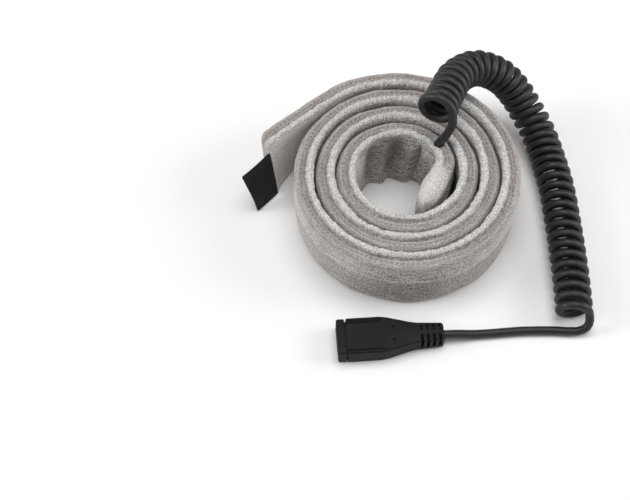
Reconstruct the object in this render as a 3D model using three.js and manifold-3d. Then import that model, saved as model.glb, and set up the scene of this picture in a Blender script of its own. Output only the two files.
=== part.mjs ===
// Telescope dew heater strip: a padded fleece strip rolled up on its edge, with a heating wire
// inside, a curly power cord and an inline micro-USB socket.
// Millimetres, +Z up. The strip stands on its lower edge, and the origin is under the middle of
// the rolled strip and its label.

import * as THREE from 'three';
import { mergeVertices } from 'three/addons/utils/BufferGeometryUtils.js';
import Module from 'manifold-3d';

const wasm = await Module();
wasm.setup();

// Fleece strip, in section
const STRIP_WIDTH = 26;
const STRIP_THICKNESS = 6.6;
const FOOT_WIDTH = 3.8;
const INNER_LOBE_RADIUS = 1.4;
const OUTER_LOBE_RADIUS = 1.9;
const OUTER_LOBE_DROP = 1.3;
const SEAM_DEPTH = 0.9;
const LOWER_EDGE_RADIUS = 1.4;

// How the strip is rolled, seen from above and counted anticlockwise from +X
const TURN_GAP = 0.75;
const START_RADIUS = 17.45;
const START_ANGLE = 80;
const FOLD_ANGLE = 24;
const OUTER_ANGLE = 1211;
const FOLD_RADIUS = 5;
const FOLD_TURN = 46;
const INNER_TAIL = 18;
const OUTER_TAIL = 28.5;
const OUTER_END_SLANT = 10;
const STRIP_STEP = 5;

// Pocket in the strip and the bore where the cord goes in
const POCKET_THICKNESS = 3.6;
const POCKET_WIDTH = 19.5;
const POCKET_FLOOR = 3;
const END_SEAM = 6;
const POCKET_LEAD_IN = 4;
const ENTRY_PAST_FOLD = 4.2;
const ENTRY_BORE_RADIUS = 2.6;
const ENTRY_BORE_FLOOR = 9;

// Heating element and backing
const CLEARANCE = 0.3;
const PAD_THICKNESS = 0.9;
const PAD_WIDTH = 17;
const CARRIER_THICKNESS = 0.3;
const CARRIER_WIDTH = 15;
const HEATING_WIRE_RADIUS = 0.35;
const HEATING_RUNS_APART = 9;
const LOWER_RUN_HEIGHT = 7.5;
const ELEMENT_START = 6;
const SPLICE_RADIUS = 0.6;
const SPLICE_LENGTH = 6;
const SPLICE_START = 7;
const SPLICES_APART = 4;
const POWER_WIRE_RADIUS = 0.45;

// Label tab at the outer end
const LABEL_WIDTH = 19;
const LABEL_LENGTH = 12;
const LABEL_ROOT = 3;
const LABEL_THICKNESS = 0.7;
const LABEL_FLOOR = 3;
const LABEL_INSET = 2.2;
const LABEL_SWING = 10;

// Cord, its collar and tie, and the curly part
const CORD_DIAMETER = 3;
const COLLAR_WALL = 0.5;
const COLLAR_LENGTH = 6.4;
const COLLAR_DROP = 0.8;
const CORD_STAND = 0.6;
const TIE_WIDTH = 2.2;
const TIE_DROP = 8;
const CORD_END_DROP = 12;
const COIL_DIAMETER = 13;
const CORD_STEP = 3;
const COIL_STEP = 3.4;

// Inline socket, measured along its axis from the mouth
const SOCKET_ANGLE = 3.8;
const SOCKET_MOUTH_X = -22.9;
const SOCKET_MOUTH_Y = -55.2;
const BODY_WIDTH = 13.4;
const BODY_THICKNESS = 7;
const BODY_BEVEL = 0.9;
const COLLAR_RIM = 2.8;
const COLLAR_STEP = 0.1;
const GROOVE_WIDTH = 0.5;
const GROOVE_DEPTH = 0.8;
const BODY_LENGTH = 11.9;
const TAPER_LENGTH = 12;
const RELIEF_LENGTH = 9.2;
const RELIEF_WIDTH = 6.5;
const RELIEF_THICKNESS = 5.5;
const TAPER_END_WIDTH = 7.6;
const TAPER_END_THICKNESS = 6;
const RELIEF_SLOTS = 4;
const SLOT_WIDTH = 0.9;
const SLOT_PITCH = 2.05;
const SLOT_SPINE = 1.5;
const SLOT_RAIL = 1.3;
const SLOT_FACE_MARGIN = 0.6;
const SLOT_CORE_RADIUS = 2.4;
const PANEL_LENGTH = 10.6;
const PANEL_WIDTH = 9.6;
const PANEL_DEPTH = 0.4;
const DIMPLE_RADIUS = 0.5;
const DIMPLE_DEPTH = 0.6;
const DIMPLES_APART = 4.7;
const DIMPLE_PAST_BODY = 4.1;

// Socket insides
const SHELL_WIDTH = 7.6;
const SHELL_THICKNESS = 2.8;
const SHELL_WALL = 0.3;
const SHELL_LENGTH = 6;
const SHELL_SETBACK = 0.5;
const TONGUE_WIDTH = 3.8;
const TONGUE_THICKNESS = 0.7;
const TONGUE_REACH = 3.4;
const TONGUE_BLOCK = 2;
const CONTACT_COUNT = 5;
const CONTACT_PITCH = 0.65;
const CONTACT_WIDTH = 0.3;
const CONTACT_THICKNESS = 0.2;
const CONTACT_TAIL = 1.6;
const CONTACT_CLEARANCE = 0.12;
const MOULD_WIDTH = 9.6;
const MOULD_THICKNESS = 4.2;
const MOULD_LENGTH = 8;
const MOULD_CHANNEL_WIDTH = 4.2;
const MOULD_CHANNEL_HEIGHT = 1.9;
const CORD_IN_SOCKET = 15.5;

// Sizes that follow from the ones above
const HALF_THICKNESS = STRIP_THICKNESS / 2;
const TURN_PITCH = STRIP_THICKNESS + TURN_GAP;
const CORD_RADIUS = CORD_DIAMETER / 2;
const COLLAR_BORE = CORD_RADIUS + CLEARANCE;
const GROOVE_START = COLLAR_RIM;
const BODY_START = GROOVE_START + GROOVE_WIDTH;
const TAPER_START = BODY_START + BODY_LENGTH;
const RELIEF_START = TAPER_START + TAPER_LENGTH;
const SOCKET_LENGTH = RELIEF_START + RELIEF_LENGTH;
const SOCKET_HEIGHT = BODY_THICKNESS / 2;

const materials = {
  fleece: new THREE.MeshStandardMaterial({ color: 0xb4afaa, roughness: 0.98 }),
  batting: new THREE.MeshStandardMaterial({ color: 0xe6e4de, roughness: 0.95 }),
  carrier: new THREE.MeshStandardMaterial({ color: 0xd8cfae, roughness: 0.8 }),
  resistanceWire: new THREE.MeshStandardMaterial({ color: 0x9a958c, roughness: 0.35, metalness: 1 }),
  label: new THREE.MeshStandardMaterial({ color: 0x121214, roughness: 0.75 }),
  cord: new THREE.MeshStandardMaterial({ color: 0x242526, roughness: 0.5 }),
  shrinkSleeve: new THREE.MeshStandardMaterial({ color: 0x1b1c1d, roughness: 0.45 }),
  nylon: new THREE.MeshStandardMaterial({ color: 0xe9e7e0, roughness: 0.5 }),
  housing: new THREE.MeshStandardMaterial({ color: 0x232526, roughness: 0.55 }),
  mould: new THREE.MeshStandardMaterial({ color: 0xdadad2, roughness: 0.6 }),
  steel: new THREE.MeshStandardMaterial({ color: 0xc4c6c8, roughness: 0.3, metalness: 1 }),
  brass: new THREE.MeshStandardMaterial({ color: 0xd8b15a, roughness: 0.3, metalness: 1 }),
  redCore: new THREE.MeshStandardMaterial({ color: 0xb3261e, roughness: 0.5 }),
  blackCore: new THREE.MeshStandardMaterial({ color: 0x1a1a1a, roughness: 0.5 }),
};

function namedMesh(name, geometry, material) {
  const mesh = new THREE.Mesh(geometry, material);
  mesh.name = name;
  return mesh;
}

// A closed geometry as a manifold solid, and back
function toSolid(geometry) {
  const bare = geometry.clone();
  bare.deleteAttribute('normal');
  bare.deleteAttribute('uv');
  const merged = mergeVertices(bare, 1e-4);
  return new wasm.Manifold(new wasm.Mesh({
    numProp: 3,
    vertProperties: new Float32Array(merged.attributes.position.array),
    triVerts: new Uint32Array(merged.index.array),
  }));
}

function toGeometry(solid) {
  const mesh = solid.getMesh();
  const geometry = new THREE.BufferGeometry();
  geometry.setAttribute('position', new THREE.BufferAttribute(mesh.vertProperties, 3));
  geometry.setIndex(new THREE.BufferAttribute(mesh.triVerts, 1));
  geometry.computeVertexNormals();
  return geometry;
}

function box(lengthX, widthY, heightZ, x, y, z) {
  return new THREE.BoxGeometry(lengthX, widthY, heightZ).translate(x, y, z);
}

function polygon(radius, sides) {
  const points = [];
  for (let i = 0; i < sides; i += 1) {
    const angle = ((i + 0.5) / sides) * 2 * Math.PI;
    points.push(new THREE.Vector2(radius * Math.cos(angle), radius * Math.sin(angle)));
  }
  return new THREE.Shape(points);
}

function tube(path, radius, sides, step) {
  const steps = Math.max(2, Math.ceil(path.getLength() / step));
  return new THREE.ExtrudeGeometry(polygon(radius, sides), { steps, extrudePath: path });
}

function routeThrough(points) {
  return new THREE.CatmullRomCurve3(points, false, 'centripetal');
}

// The spiral's centreline: its radius grows by one turn pitch in each turn
function spiralPoint(degrees) {
  const radius = START_RADIUS + ((degrees - START_ANGLE) / 360) * TURN_PITCH;
  const angle = THREE.MathUtils.degToRad(degrees);
  return new THREE.Vector3(radius * Math.cos(angle), radius * Math.sin(angle), 0);
}

function spiralDirection(degrees) {
  return spiralPoint(degrees + 1).sub(spiralPoint(degrees - 1)).normalize();
}

function turned(direction, degrees) {
  return direction.clone().applyAxisAngle(new THREE.Vector3(0, 0, 1), THREE.MathUtils.degToRad(degrees));
}

// The whole strip's centreline in plan, from its inner tip through the fold and the spiral to
// its straight outer tail
function stripCentreline() {
  const foldPoint = spiralPoint(FOLD_ANGLE);
  const foldDirection = spiralDirection(FOLD_ANGLE);
  const foldCentre = foldPoint.clone().addScaledVector(turned(foldDirection, 90), FOLD_RADIUS);
  const tailDirection = turned(foldDirection, -FOLD_TURN);
  const foldStart = foldCentre.clone().addScaledVector(turned(tailDirection, -90), FOLD_RADIUS);
  const points = [1, 0.6, 0.25].map((share) =>
    foldStart.clone().addScaledVector(tailDirection, -INNER_TAIL * share));
  for (const share of [0, 0.33, 0.67]) {
    const spoke = turned(tailDirection, -90 + FOLD_TURN * share);
    points.push(foldCentre.clone().addScaledVector(spoke, FOLD_RADIUS));
  }
  for (let angle = FOLD_ANGLE; angle < OUTER_ANGLE - 6; angle += 12) {
    points.push(spiralPoint(angle));
  }
  const tailStart = spiralPoint(OUTER_ANGLE);
  const outerDirection = spiralDirection(OUTER_ANGLE);
  for (const share of [0, 0.3, 0.65, 1]) {
    points.push(tailStart.clone().addScaledVector(outerDirection, OUTER_TAIL * share));
  }
  const line = routeThrough(points);
  line.arcLengthDivisions = 1200;
  return line;
}

const centreline = stripCentreline();
const stripLength = centreline.getLength();
const foldEnd = INNER_TAIL + FOLD_RADIUS * THREE.MathUtils.degToRad(FOLD_TURN);
const entryAt = foldEnd + ENTRY_PAST_FOLD;
const slantRun = STRIP_WIDTH * Math.tan(THREE.MathUtils.degToRad(OUTER_END_SLANT));
const pocketEnd = stripLength - END_SEAM - slantRun;

// A point in the strip: its distance from the inner tip, how far out from the centreline, its height
function inStrip(along, outward, height) {
  const at = THREE.MathUtils.clamp(along / stripLength, 0, 1);
  const point = centreline.getPointAt(at);
  const direction = centreline.getTangentAt(at);
  return new THREE.Vector3(point.x + direction.y * outward, point.y - direction.x * outward, height);
}

// A stretch of the strip as a path, for sweeping a section along it
class StripStretch extends THREE.Curve {
  constructor(from, to) {
    super();
    this.from = from;
    this.to = to;
    this.arcLengthDivisions = 600;
  }

  getPoint(share, target = new THREE.Vector3()) {
    return target.copy(inStrip(THREE.MathUtils.lerp(this.from, this.to, share), 0, 0));
  }
}

// Sweeps a section, given as outward and height pairs, along the strip
function sweepSection(section, from, to) {
  const shape = new THREE.Shape(section.map((point) => new THREE.Vector2(-point.y, -point.x)));
  const steps = Math.ceil((to - from) / STRIP_STEP);
  return new THREE.ExtrudeGeometry(shape, { steps, extrudePath: new StripStretch(from, to) });
}

function rectangleSection(innerFace, outerFace, bottom, top) {
  return [
    new THREE.Vector2(innerFace, bottom),
    new THREE.Vector2(outerFace, bottom),
    new THREE.Vector2(outerFace, top),
    new THREE.Vector2(innerFace, top),
  ];
}

// The strip's section: flat foot, plain sides, and two rounded lobes on top with a seam between
function stripSection() {
  const outline = new THREE.Path();
  const halfFoot = FOOT_WIDTH / 2;
  const outerLobe = HALF_THICKNESS - OUTER_LOBE_RADIUS;
  const innerLobe = INNER_LOBE_RADIUS - HALF_THICKNESS;
  const outerLobeHeight = STRIP_WIDTH - OUTER_LOBE_DROP - OUTER_LOBE_RADIUS;
  const innerLobeHeight = STRIP_WIDTH - INNER_LOBE_RADIUS;
  const seam = (innerLobe + INNER_LOBE_RADIUS + outerLobe - OUTER_LOBE_RADIUS) / 2;
  outline.moveTo(-halfFoot, 0);
  outline.lineTo(halfFoot, 0);
  outline.lineTo(HALF_THICKNESS, LOWER_EDGE_RADIUS);
  outline.absarc(outerLobe, outerLobeHeight, OUTER_LOBE_RADIUS, 0, Math.PI * 0.75, false);
  outline.lineTo(seam, STRIP_WIDTH - OUTER_LOBE_DROP - SEAM_DEPTH);
  outline.absarc(innerLobe, innerLobeHeight, INNER_LOBE_RADIUS, Math.PI * 0.25, Math.PI, false);
  outline.lineTo(-HALF_THICKNESS, LOWER_EDGE_RADIUS);
  return outline.getPoints(2);
}

// Moves a shape made at the origin to the strip's outer end: its +X runs out along the tail,
// drooping by the end's slant, and it may be swung round in plan
function atOuterEnd(geometry, swing, outward, along, height) {
  const direction = turned(centreline.getTangentAt(1), swing);
  const place = inStrip(stripLength, outward, height)
    .addScaledVector(centreline.getTangentAt(1), along);
  return geometry
    .rotateY(THREE.MathUtils.degToRad(OUTER_END_SLANT))
    .rotateZ(Math.atan2(direction.y, direction.x))
    .translate(place.x, place.y, place.z);
}

// What the slanted end seam takes off the square end of the sweep
function outerEndCut() {
  const size = 2 * STRIP_WIDTH;
  return atOuterEnd(box(size, size, 2 * size, size / 2, 0, 0), 0, 0, 0, STRIP_WIDTH);
}

// The label, or with room around it the slit that holds its root
function labelBox(room) {
  const length = LABEL_LENGTH + LABEL_ROOT + room;
  const middle = LABEL_LENGTH - length / 2;
  const label = box(length, LABEL_THICKNESS + 2 * room, LABEL_WIDTH + 2 * room, middle, 0, 0);
  const labelMiddle = LABEL_FLOOR + LABEL_WIDTH / 2;
  const setback = slantRun * (1 - labelMiddle / STRIP_WIDTH);
  return atOuterEnd(label, LABEL_SWING, -LABEL_INSET, -setback, labelMiddle);
}

function fleeceSleeve() {
  const halfPocket = POCKET_THICKNESS / 2;
  const pocketSection = rectangleSection(-halfPocket, halfPocket, POCKET_FLOOR, POCKET_FLOOR + POCKET_WIDTH);
  const entry = inStrip(entryAt, 0, 0);
  const boreHeight = STRIP_WIDTH - ENTRY_BORE_FLOOR + CLEARANCE;
  const bore = new THREE.CylinderGeometry(ENTRY_BORE_RADIUS, ENTRY_BORE_RADIUS, boreHeight, 16)
    .rotateX(Math.PI / 2)
    .translate(entry.x, entry.y, ENTRY_BORE_FLOOR + boreHeight / 2);
  return toGeometry(toSolid(sweepSection(stripSection(), 0, stripLength))
    .subtract(toSolid(sweepSection(pocketSection, entryAt - POCKET_LEAD_IN, pocketEnd)))
    .subtract(toSolid(bore))
    .subtract(toSolid(outerEndCut()))
    .subtract(toSolid(labelBox(CLEARANCE))));
}

// Layers in the pocket, from its outer wall inwards: backing pad, wire carrier, heating wire
const padOuter = POCKET_THICKNESS / 2 - CLEARANCE;
const padInner = padOuter - PAD_THICKNESS;
const carrierOuter = padInner - CLEARANCE;
const carrierInner = carrierOuter - CARRIER_THICKNESS;
const wireOutward = carrierInner - CLEARANCE - SPLICE_RADIUS;
const pocketMiddle = POCKET_FLOOR + POCKET_WIDTH / 2;
const elementStart = entryAt + ELEMENT_START;
const elementEnd = pocketEnd - 2 * CLEARANCE;
const spliceStart = entryAt + SPLICE_START;
const spliceEnd = spliceStart + SPLICE_LENGTH;
const upperSplice = LOWER_RUN_HEIGHT + SPLICES_APART;

function bandInPocket(innerFace, outerFace, width) {
  const bottom = pocketMiddle - width / 2;
  return sweepSection(rectangleSection(innerFace, outerFace, bottom, bottom + width), elementStart, elementEnd);
}

// Out along the strip on the upper run, round a half circle at the far end and back on the lower run
function heatingWire() {
  const bend = HEATING_RUNS_APART / 2;
  const upperRun = LOWER_RUN_HEIGHT + HEATING_RUNS_APART;
  const runStart = spliceEnd + CLEARANCE;
  const runEnd = elementEnd - bend - SPLICE_LENGTH / 2;
  const fullHeightAt = runStart + 2 * SPLICE_LENGTH;
  const points = [inStrip(runStart, wireOutward, upperSplice)];
  points.push(inStrip(runStart + 2, wireOutward, upperSplice));
  for (let along = fullHeightAt; along < runEnd - STRIP_STEP / 2; along += STRIP_STEP) {
    points.push(inStrip(along, wireOutward, upperRun));
  }
  for (let i = 0; i <= 6; i += 1) {
    const angle = Math.PI / 2 - (i / 6) * Math.PI;
    const height = LOWER_RUN_HEIGHT + bend + bend * Math.sin(angle);
    points.push(inStrip(runEnd + bend * Math.cos(angle), wireOutward, height));
  }
  for (let along = runEnd - STRIP_STEP; along > runStart + STRIP_STEP / 2; along -= STRIP_STEP) {
    points.push(inStrip(along, wireOutward, LOWER_RUN_HEIGHT));
  }
  points.push(inStrip(runStart, wireOutward, LOWER_RUN_HEIGHT));
  const path = routeThrough(points);
  path.arcLengthDivisions = 2400;
  return tube(path, HEATING_WIRE_RADIUS, 4, STRIP_STEP * 0.9);
}

function spliceSleeve(height) {
  const path = new THREE.LineCurve3(
    inStrip(spliceStart, wireOutward, height),
    inStrip(spliceEnd, wireOutward, height),
  );
  return new THREE.ExtrudeGeometry(polygon(SPLICE_RADIUS, 10), { steps: 1, extrudePath: path });
}

// A power wire from the end of the cord, down in the entry bore and along to its splice
function powerWire(side, height) {
  const cordEnd = STRIP_WIDTH - CORD_END_DROP;
  const apart = side * (POWER_WIRE_RADIUS + CLEARANCE / 2);
  const wireEnd = spliceStart - CLEARANCE;
  const dip = height + (cordEnd - height) * 0.35;
  return tube(routeThrough([
    inStrip(entryAt + apart, 0, cordEnd - CLEARANCE),
    inStrip(entryAt + apart, 0, dip),
    inStrip(entryAt + (side > 0 ? 2.2 : 1.2), wireOutward * 0.6, height + (side > 0 ? 0.3 : 0.8)),
    inStrip(entryAt + 4.2, wireOutward, height),
    inStrip(wireEnd, wireOutward, height),
  ]), POWER_WIRE_RADIUS, 8, 1.2);
}

// A plain ring around the cord in the entry bore
function cordRing(bottom, height) {
  const entry = inStrip(entryAt, 0, 0);
  const outer = COLLAR_BORE + COLLAR_WALL;
  const half = height / 2;
  const profile = [
    new THREE.Vector2(COLLAR_BORE, -half),
    new THREE.Vector2(outer, -half),
    new THREE.Vector2(outer, half),
    new THREE.Vector2(COLLAR_BORE, half),
    new THREE.Vector2(COLLAR_BORE, -half),
  ];
  return new THREE.LatheGeometry(profile, 16).rotateX(Math.PI / 2)
    .translate(entry.x, entry.y, bottom + half);
}

// The cord's route. The points of the free stretches are chosen by hand.
function socketPoint(along) {
  const angle = THREE.MathUtils.degToRad(SOCKET_ANGLE);
  return new THREE.Vector3(
    SOCKET_MOUTH_X + along * Math.cos(angle),
    SOCKET_MOUTH_Y + along * Math.sin(angle),
    SOCKET_HEIGHT,
  );
}

function exitRoute() {
  return routeThrough([
    inStrip(entryAt, 0, STRIP_WIDTH - CORD_END_DROP),
    inStrip(entryAt, 0, STRIP_WIDTH - CORD_END_DROP / 2),
    inStrip(entryAt, 0, STRIP_WIDTH + CORD_STAND),
    new THREE.Vector3(14.7, 9.6, 31.2),
    new THREE.Vector3(15.9, 9.6, 35.6),
    new THREE.Vector3(16.5, 9.6, 39),
    new THREE.Vector3(16.5, 10.3, 40.8),
  ]);
}

function coilAxis() {
  return routeThrough([
    new THREE.Vector3(11.5, 14.4, 41),
    new THREE.Vector3(15.1, 23, 39.5),
    new THREE.Vector3(18.9, 31.6, 37),
    new THREE.Vector3(26.3, 39.2, 32.5),
    new THREE.Vector3(32.1, 41.3, 28.5),
    new THREE.Vector3(37.4, 41.7, 24),
    new THREE.Vector3(42.3, 40.2, 18.5),
    new THREE.Vector3(46.7, 36.6, 13),
    new THREE.Vector3(51.5, 28.7, 8.4),
    new THREE.Vector3(54.4, 18.2, 6.7),
    new THREE.Vector3(56.3, 6.4, 6.7),
    new THREE.Vector3(57.2, -6.1, 6.7),
    new THREE.Vector3(57.8, -20, 6.7),
    new THREE.Vector3(58.1, -33.5, 6.7),
    new THREE.Vector3(57.9, -46.7, 6.7),
  ]);
}

function tailRoute() {
  return routeThrough([
    new THREE.Vector3(63.1, -48.6, 5.6),
    new THREE.Vector3(62.4, -50, 3.4),
    new THREE.Vector3(59.3, -50.8, 1.9),
    new THREE.Vector3(52.1, -50.4, 1.65),
    new THREE.Vector3(40.4, -50.5, 1.65),
    new THREE.Vector3(32.5, -51.2, 1.65),
    new THREE.Vector3(24.6, -51.9, 1.9),
    new THREE.Vector3(18.5, -52.4, 3),
    socketPoint(SOCKET_LENGTH - 1),
    socketPoint(SOCKET_LENGTH - CORD_IN_SOCKET / 2),
    socketPoint(SOCKET_LENGTH - CORD_IN_SOCKET),
  ]);
}

// Socket housing: its outline from above, cut to its outline from the side
function outlineAlong(stations) {
  const upper = stations.map(([along, half]) => new THREE.Vector2(along, half));
  const lower = stations.map(([along, half]) => new THREE.Vector2(along, -half)).reverse();
  return new THREE.Shape([...lower, ...upper]);
}

function housingStations(body, taperEnd, relief, bevel) {
  const collar = body / 2 - COLLAR_STEP - bevel;
  const groove = body / 2 - COLLAR_STEP - GROOVE_DEPTH - bevel;
  return [
    [bevel, collar],
    [GROOVE_START - bevel, collar],
    [GROOVE_START - bevel, groove],
    [BODY_START + bevel, groove],
    [BODY_START + bevel, body / 2 - bevel],
    [TAPER_START, body / 2 - bevel],
    [RELIEF_START, taperEnd / 2 - bevel],
    [SOCKET_LENGTH - bevel, relief / 2 - bevel],
  ];
}

function housingFromAbove() {
  const stations = housingStations(BODY_WIDTH, TAPER_END_WIDTH, RELIEF_WIDTH, BODY_BEVEL);
  const depth = BODY_THICKNESS - 2 * BODY_BEVEL;
  return new THREE.ExtrudeGeometry(outlineAlong(stations), {
    depth,
    bevelThickness: BODY_BEVEL,
    bevelSize: BODY_BEVEL,
    bevelSegments: 2,
  }).translate(0, 0, -depth / 2);
}

function housingFromSide() {
  const stations = housingStations(BODY_THICKNESS, TAPER_END_THICKNESS, RELIEF_THICKNESS, 0);
  return new THREE.ExtrudeGeometry(outlineAlong(stations), { depth: BODY_WIDTH + 2, bevelEnabled: false })
    .translate(0, 0, -BODY_WIDTH / 2 - 1)
    .rotateX(Math.PI / 2);
}

// One slot of the strain relief. On each face it has a window beside the spine that stops short of
// one edge, and a window that runs over the other edge and down the side, as far as a rail.
function reliefSlot(index) {
  const margin = (RELIEF_LENGTH - (RELIEF_SLOTS - 1) * SLOT_PITCH) / 2;
  const along = RELIEF_START + margin + index * SLOT_PITCH;
  const core = new THREE.CylinderGeometry(SLOT_CORE_RADIUS, SLOT_CORE_RADIUS, SLOT_WIDTH * 2, 20)
    .rotateZ(Math.PI / 2)
    .translate(along, 0, 0);
  const windowHeight = BODY_THICKNESS + RELIEF_THICKNESS / 2 - SLOT_RAIL;
  const overEdge = box(SLOT_WIDTH, BODY_WIDTH, windowHeight,
    along, -(SLOT_SPINE + BODY_WIDTH) / 2, BODY_THICKNESS - windowHeight / 2);
  const faceWindow = (RELIEF_WIDTH - SLOT_SPINE) / 2 - SLOT_FACE_MARGIN;
  const onFace = box(SLOT_WIDTH, faceWindow, BODY_THICKNESS,
    along, (SLOT_SPINE + faceWindow) / 2, BODY_THICKNESS / 2);
  const windows = toSolid(overEdge).add(toSolid(onFace));
  return windows.add(windows.rotate(180, 0, 0)).subtract(toSolid(core));
}

const shellEnd = SHELL_SETBACK + SHELL_LENGTH;
const mouldStart = shellEnd + CLEARANCE;
const mouldEnd = mouldStart + MOULD_LENGTH;

function socketHousing() {
  const cavity = box(shellEnd + 2 * CLEARANCE, SHELL_WIDTH + 2 * CLEARANCE, SHELL_THICKNESS + 2 * CLEARANCE,
    shellEnd / 2, 0, 0);
  const mouldSpace = box(MOULD_LENGTH + 2 * CLEARANCE, MOULD_WIDTH + 2 * CLEARANCE,
    MOULD_THICKNESS + 2 * CLEARANCE, (mouldStart + mouldEnd) / 2, 0, 0);
  const boreLength = SOCKET_LENGTH - mouldEnd + 2;
  const bore = new THREE.CylinderGeometry(COLLAR_BORE, COLLAR_BORE, boreLength, 16)
    .rotateZ(Math.PI / 2)
    .translate(mouldEnd + boreLength / 2 - 1, 0, 0);
  let housing = toSolid(housingFromAbove()).intersect(toSolid(housingFromSide()))
    .subtract(toSolid(cavity))
    .subtract(toSolid(mouldSpace))
    .subtract(toSolid(bore));
  for (let i = 0; i < RELIEF_SLOTS; i += 1) {
    housing = housing.subtract(reliefSlot(i));
  }
  for (const face of [-1, 1]) {
    const panelMiddle = BODY_START + (BODY_LENGTH + GROOVE_WIDTH) / 2;
    const panel = box(PANEL_LENGTH, PANEL_WIDTH, 2 * PANEL_DEPTH, panelMiddle, 0, face * SOCKET_HEIGHT);
    housing = housing.subtract(toSolid(panel));
    for (const side of [-1, 1]) {
      const dimple = new THREE.CylinderGeometry(DIMPLE_RADIUS, DIMPLE_RADIUS, BODY_THICKNESS, 10)
        .rotateX(Math.PI / 2)
        .translate(TAPER_START + DIMPLE_PAST_BODY, side * DIMPLES_APART / 2,
          face * (BODY_THICKNESS - DIMPLE_DEPTH - (BODY_THICKNESS - TAPER_END_THICKNESS) / 4));
      housing = housing.subtract(toSolid(dimple));
    }
  }
  return toGeometry(housing);
}

function socketShell() {
  const middle = SHELL_SETBACK + SHELL_LENGTH / 2;
  const inside = box(SHELL_LENGTH + 1, SHELL_WIDTH - 2 * SHELL_WALL, SHELL_THICKNESS - 2 * SHELL_WALL, middle, 0, 0);
  return toGeometry(toSolid(box(SHELL_LENGTH, SHELL_WIDTH, SHELL_THICKNESS, middle, 0, 0)).subtract(toSolid(inside)));
}

// The insulator: a block that closes the back of the shell, and the thin tongue in front of it
const blockStart = shellEnd - TONGUE_BLOCK;
const contactStart = blockStart - TONGUE_REACH + CLEARANCE;
const contactEnd = shellEnd + CONTACT_TAIL;
const contactHeight = TONGUE_THICKNESS / 2 - CONTACT_THICKNESS / 2;

function contactBox(index, room) {
  const across = (index - (CONTACT_COUNT - 1) / 2) * CONTACT_PITCH;
  return box(contactEnd - contactStart + 2 * room, CONTACT_WIDTH + 2 * room, CONTACT_THICKNESS + 2 * room,
    (contactStart + contactEnd) / 2, across, contactHeight);
}

function socketTongue() {
  const blockWidth = SHELL_WIDTH - 2 * SHELL_WALL - 2 * CLEARANCE;
  const blockHeight = SHELL_THICKNESS - 2 * SHELL_WALL - 2 * CLEARANCE;
  let tongue = toSolid(box(TONGUE_BLOCK, blockWidth, blockHeight, blockStart + TONGUE_BLOCK / 2, 0, 0))
    .add(toSolid(box(TONGUE_REACH + 0.5, TONGUE_WIDTH, TONGUE_THICKNESS, blockStart - TONGUE_REACH / 2 + 0.25, 0, 0)));
  for (let i = 0; i < CONTACT_COUNT; i += 1) {
    tongue = tongue.subtract(toSolid(contactBox(i, CONTACT_CLEARANCE)));
  }
  return toGeometry(tongue);
}

function innerMould() {
  const middle = (mouldStart + mouldEnd) / 2;
  const block = box(MOULD_LENGTH, MOULD_WIDTH, MOULD_THICKNESS, middle, 0, 0);
  const channel = box(MOULD_LENGTH + 1, MOULD_CHANNEL_WIDTH, MOULD_CHANNEL_HEIGHT, middle, 0, 0);
  return toGeometry(toSolid(block).subtract(toSolid(channel)));
}

// An insulated core from the end of the cord to the outermost contact on its side
function socketCore(side) {
  const cordEnd = SOCKET_LENGTH - CORD_IN_SOCKET - CLEARANCE;
  const contactAcross = side * CONTACT_PITCH * (CONTACT_COUNT - 1) / 2;
  const spread = side * (POWER_WIRE_RADIUS + CLEARANCE);
  return tube(routeThrough([
    new THREE.Vector3(cordEnd, spread, 0),
    new THREE.Vector3(mouldEnd + 1, spread, 0),
    new THREE.Vector3(mouldEnd - 2.5, contactAcross, 0),
    new THREE.Vector3(contactEnd + CLEARANCE, contactAcross, 0),
  ]), POWER_WIRE_RADIUS, 8, 1.5);
}

function buildStrip() {
  const strip = new THREE.Group();
  strip.add(namedMesh('fleece_sleeve', fleeceSleeve(), materials.fleece));
  strip.add(namedMesh('backing_pad', bandInPocket(padInner, padOuter, PAD_WIDTH), materials.batting));
  strip.add(namedMesh('wire_carrier', bandInPocket(carrierInner, carrierOuter, CARRIER_WIDTH), materials.carrier));
  strip.add(namedMesh('heating_wire', heatingWire(), materials.resistanceWire));
  strip.add(namedMesh('splice_sleeve_red', spliceSleeve(upperSplice), materials.shrinkSleeve));
  strip.add(namedMesh('splice_sleeve_black', spliceSleeve(LOWER_RUN_HEIGHT), materials.shrinkSleeve));
  strip.add(namedMesh('power_wire_red', powerWire(1, upperSplice), materials.redCore));
  strip.add(namedMesh('power_wire_black', powerWire(-1, LOWER_RUN_HEIGHT), materials.blackCore));
  strip.add(namedMesh('cord_tie', cordRing(STRIP_WIDTH - TIE_DROP - TIE_WIDTH, TIE_WIDTH), materials.nylon));
  const collarBottom = STRIP_WIDTH - COLLAR_DROP - COLLAR_LENGTH;
  strip.add(namedMesh('entry_collar', cordRing(collarBottom, COLLAR_LENGTH), materials.shrinkSleeve));
  strip.add(namedMesh('end_label', labelBox(0), materials.label));
  return strip;
}

function buildCord() {
  const cord = new THREE.Group();
  cord.add(namedMesh('cord_riser', tube(exitRoute(), CORD_RADIUS, 8, CORD_STEP), materials.cord));
  cord.add(namedMesh('cord_coil', tube(coilAxis(), COIL_DIAMETER / 2, 12, COIL_STEP), materials.cord));
  cord.add(namedMesh('cord_lead', tube(tailRoute(), CORD_RADIUS, 8, CORD_STEP), materials.cord));
  return cord;
}

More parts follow.
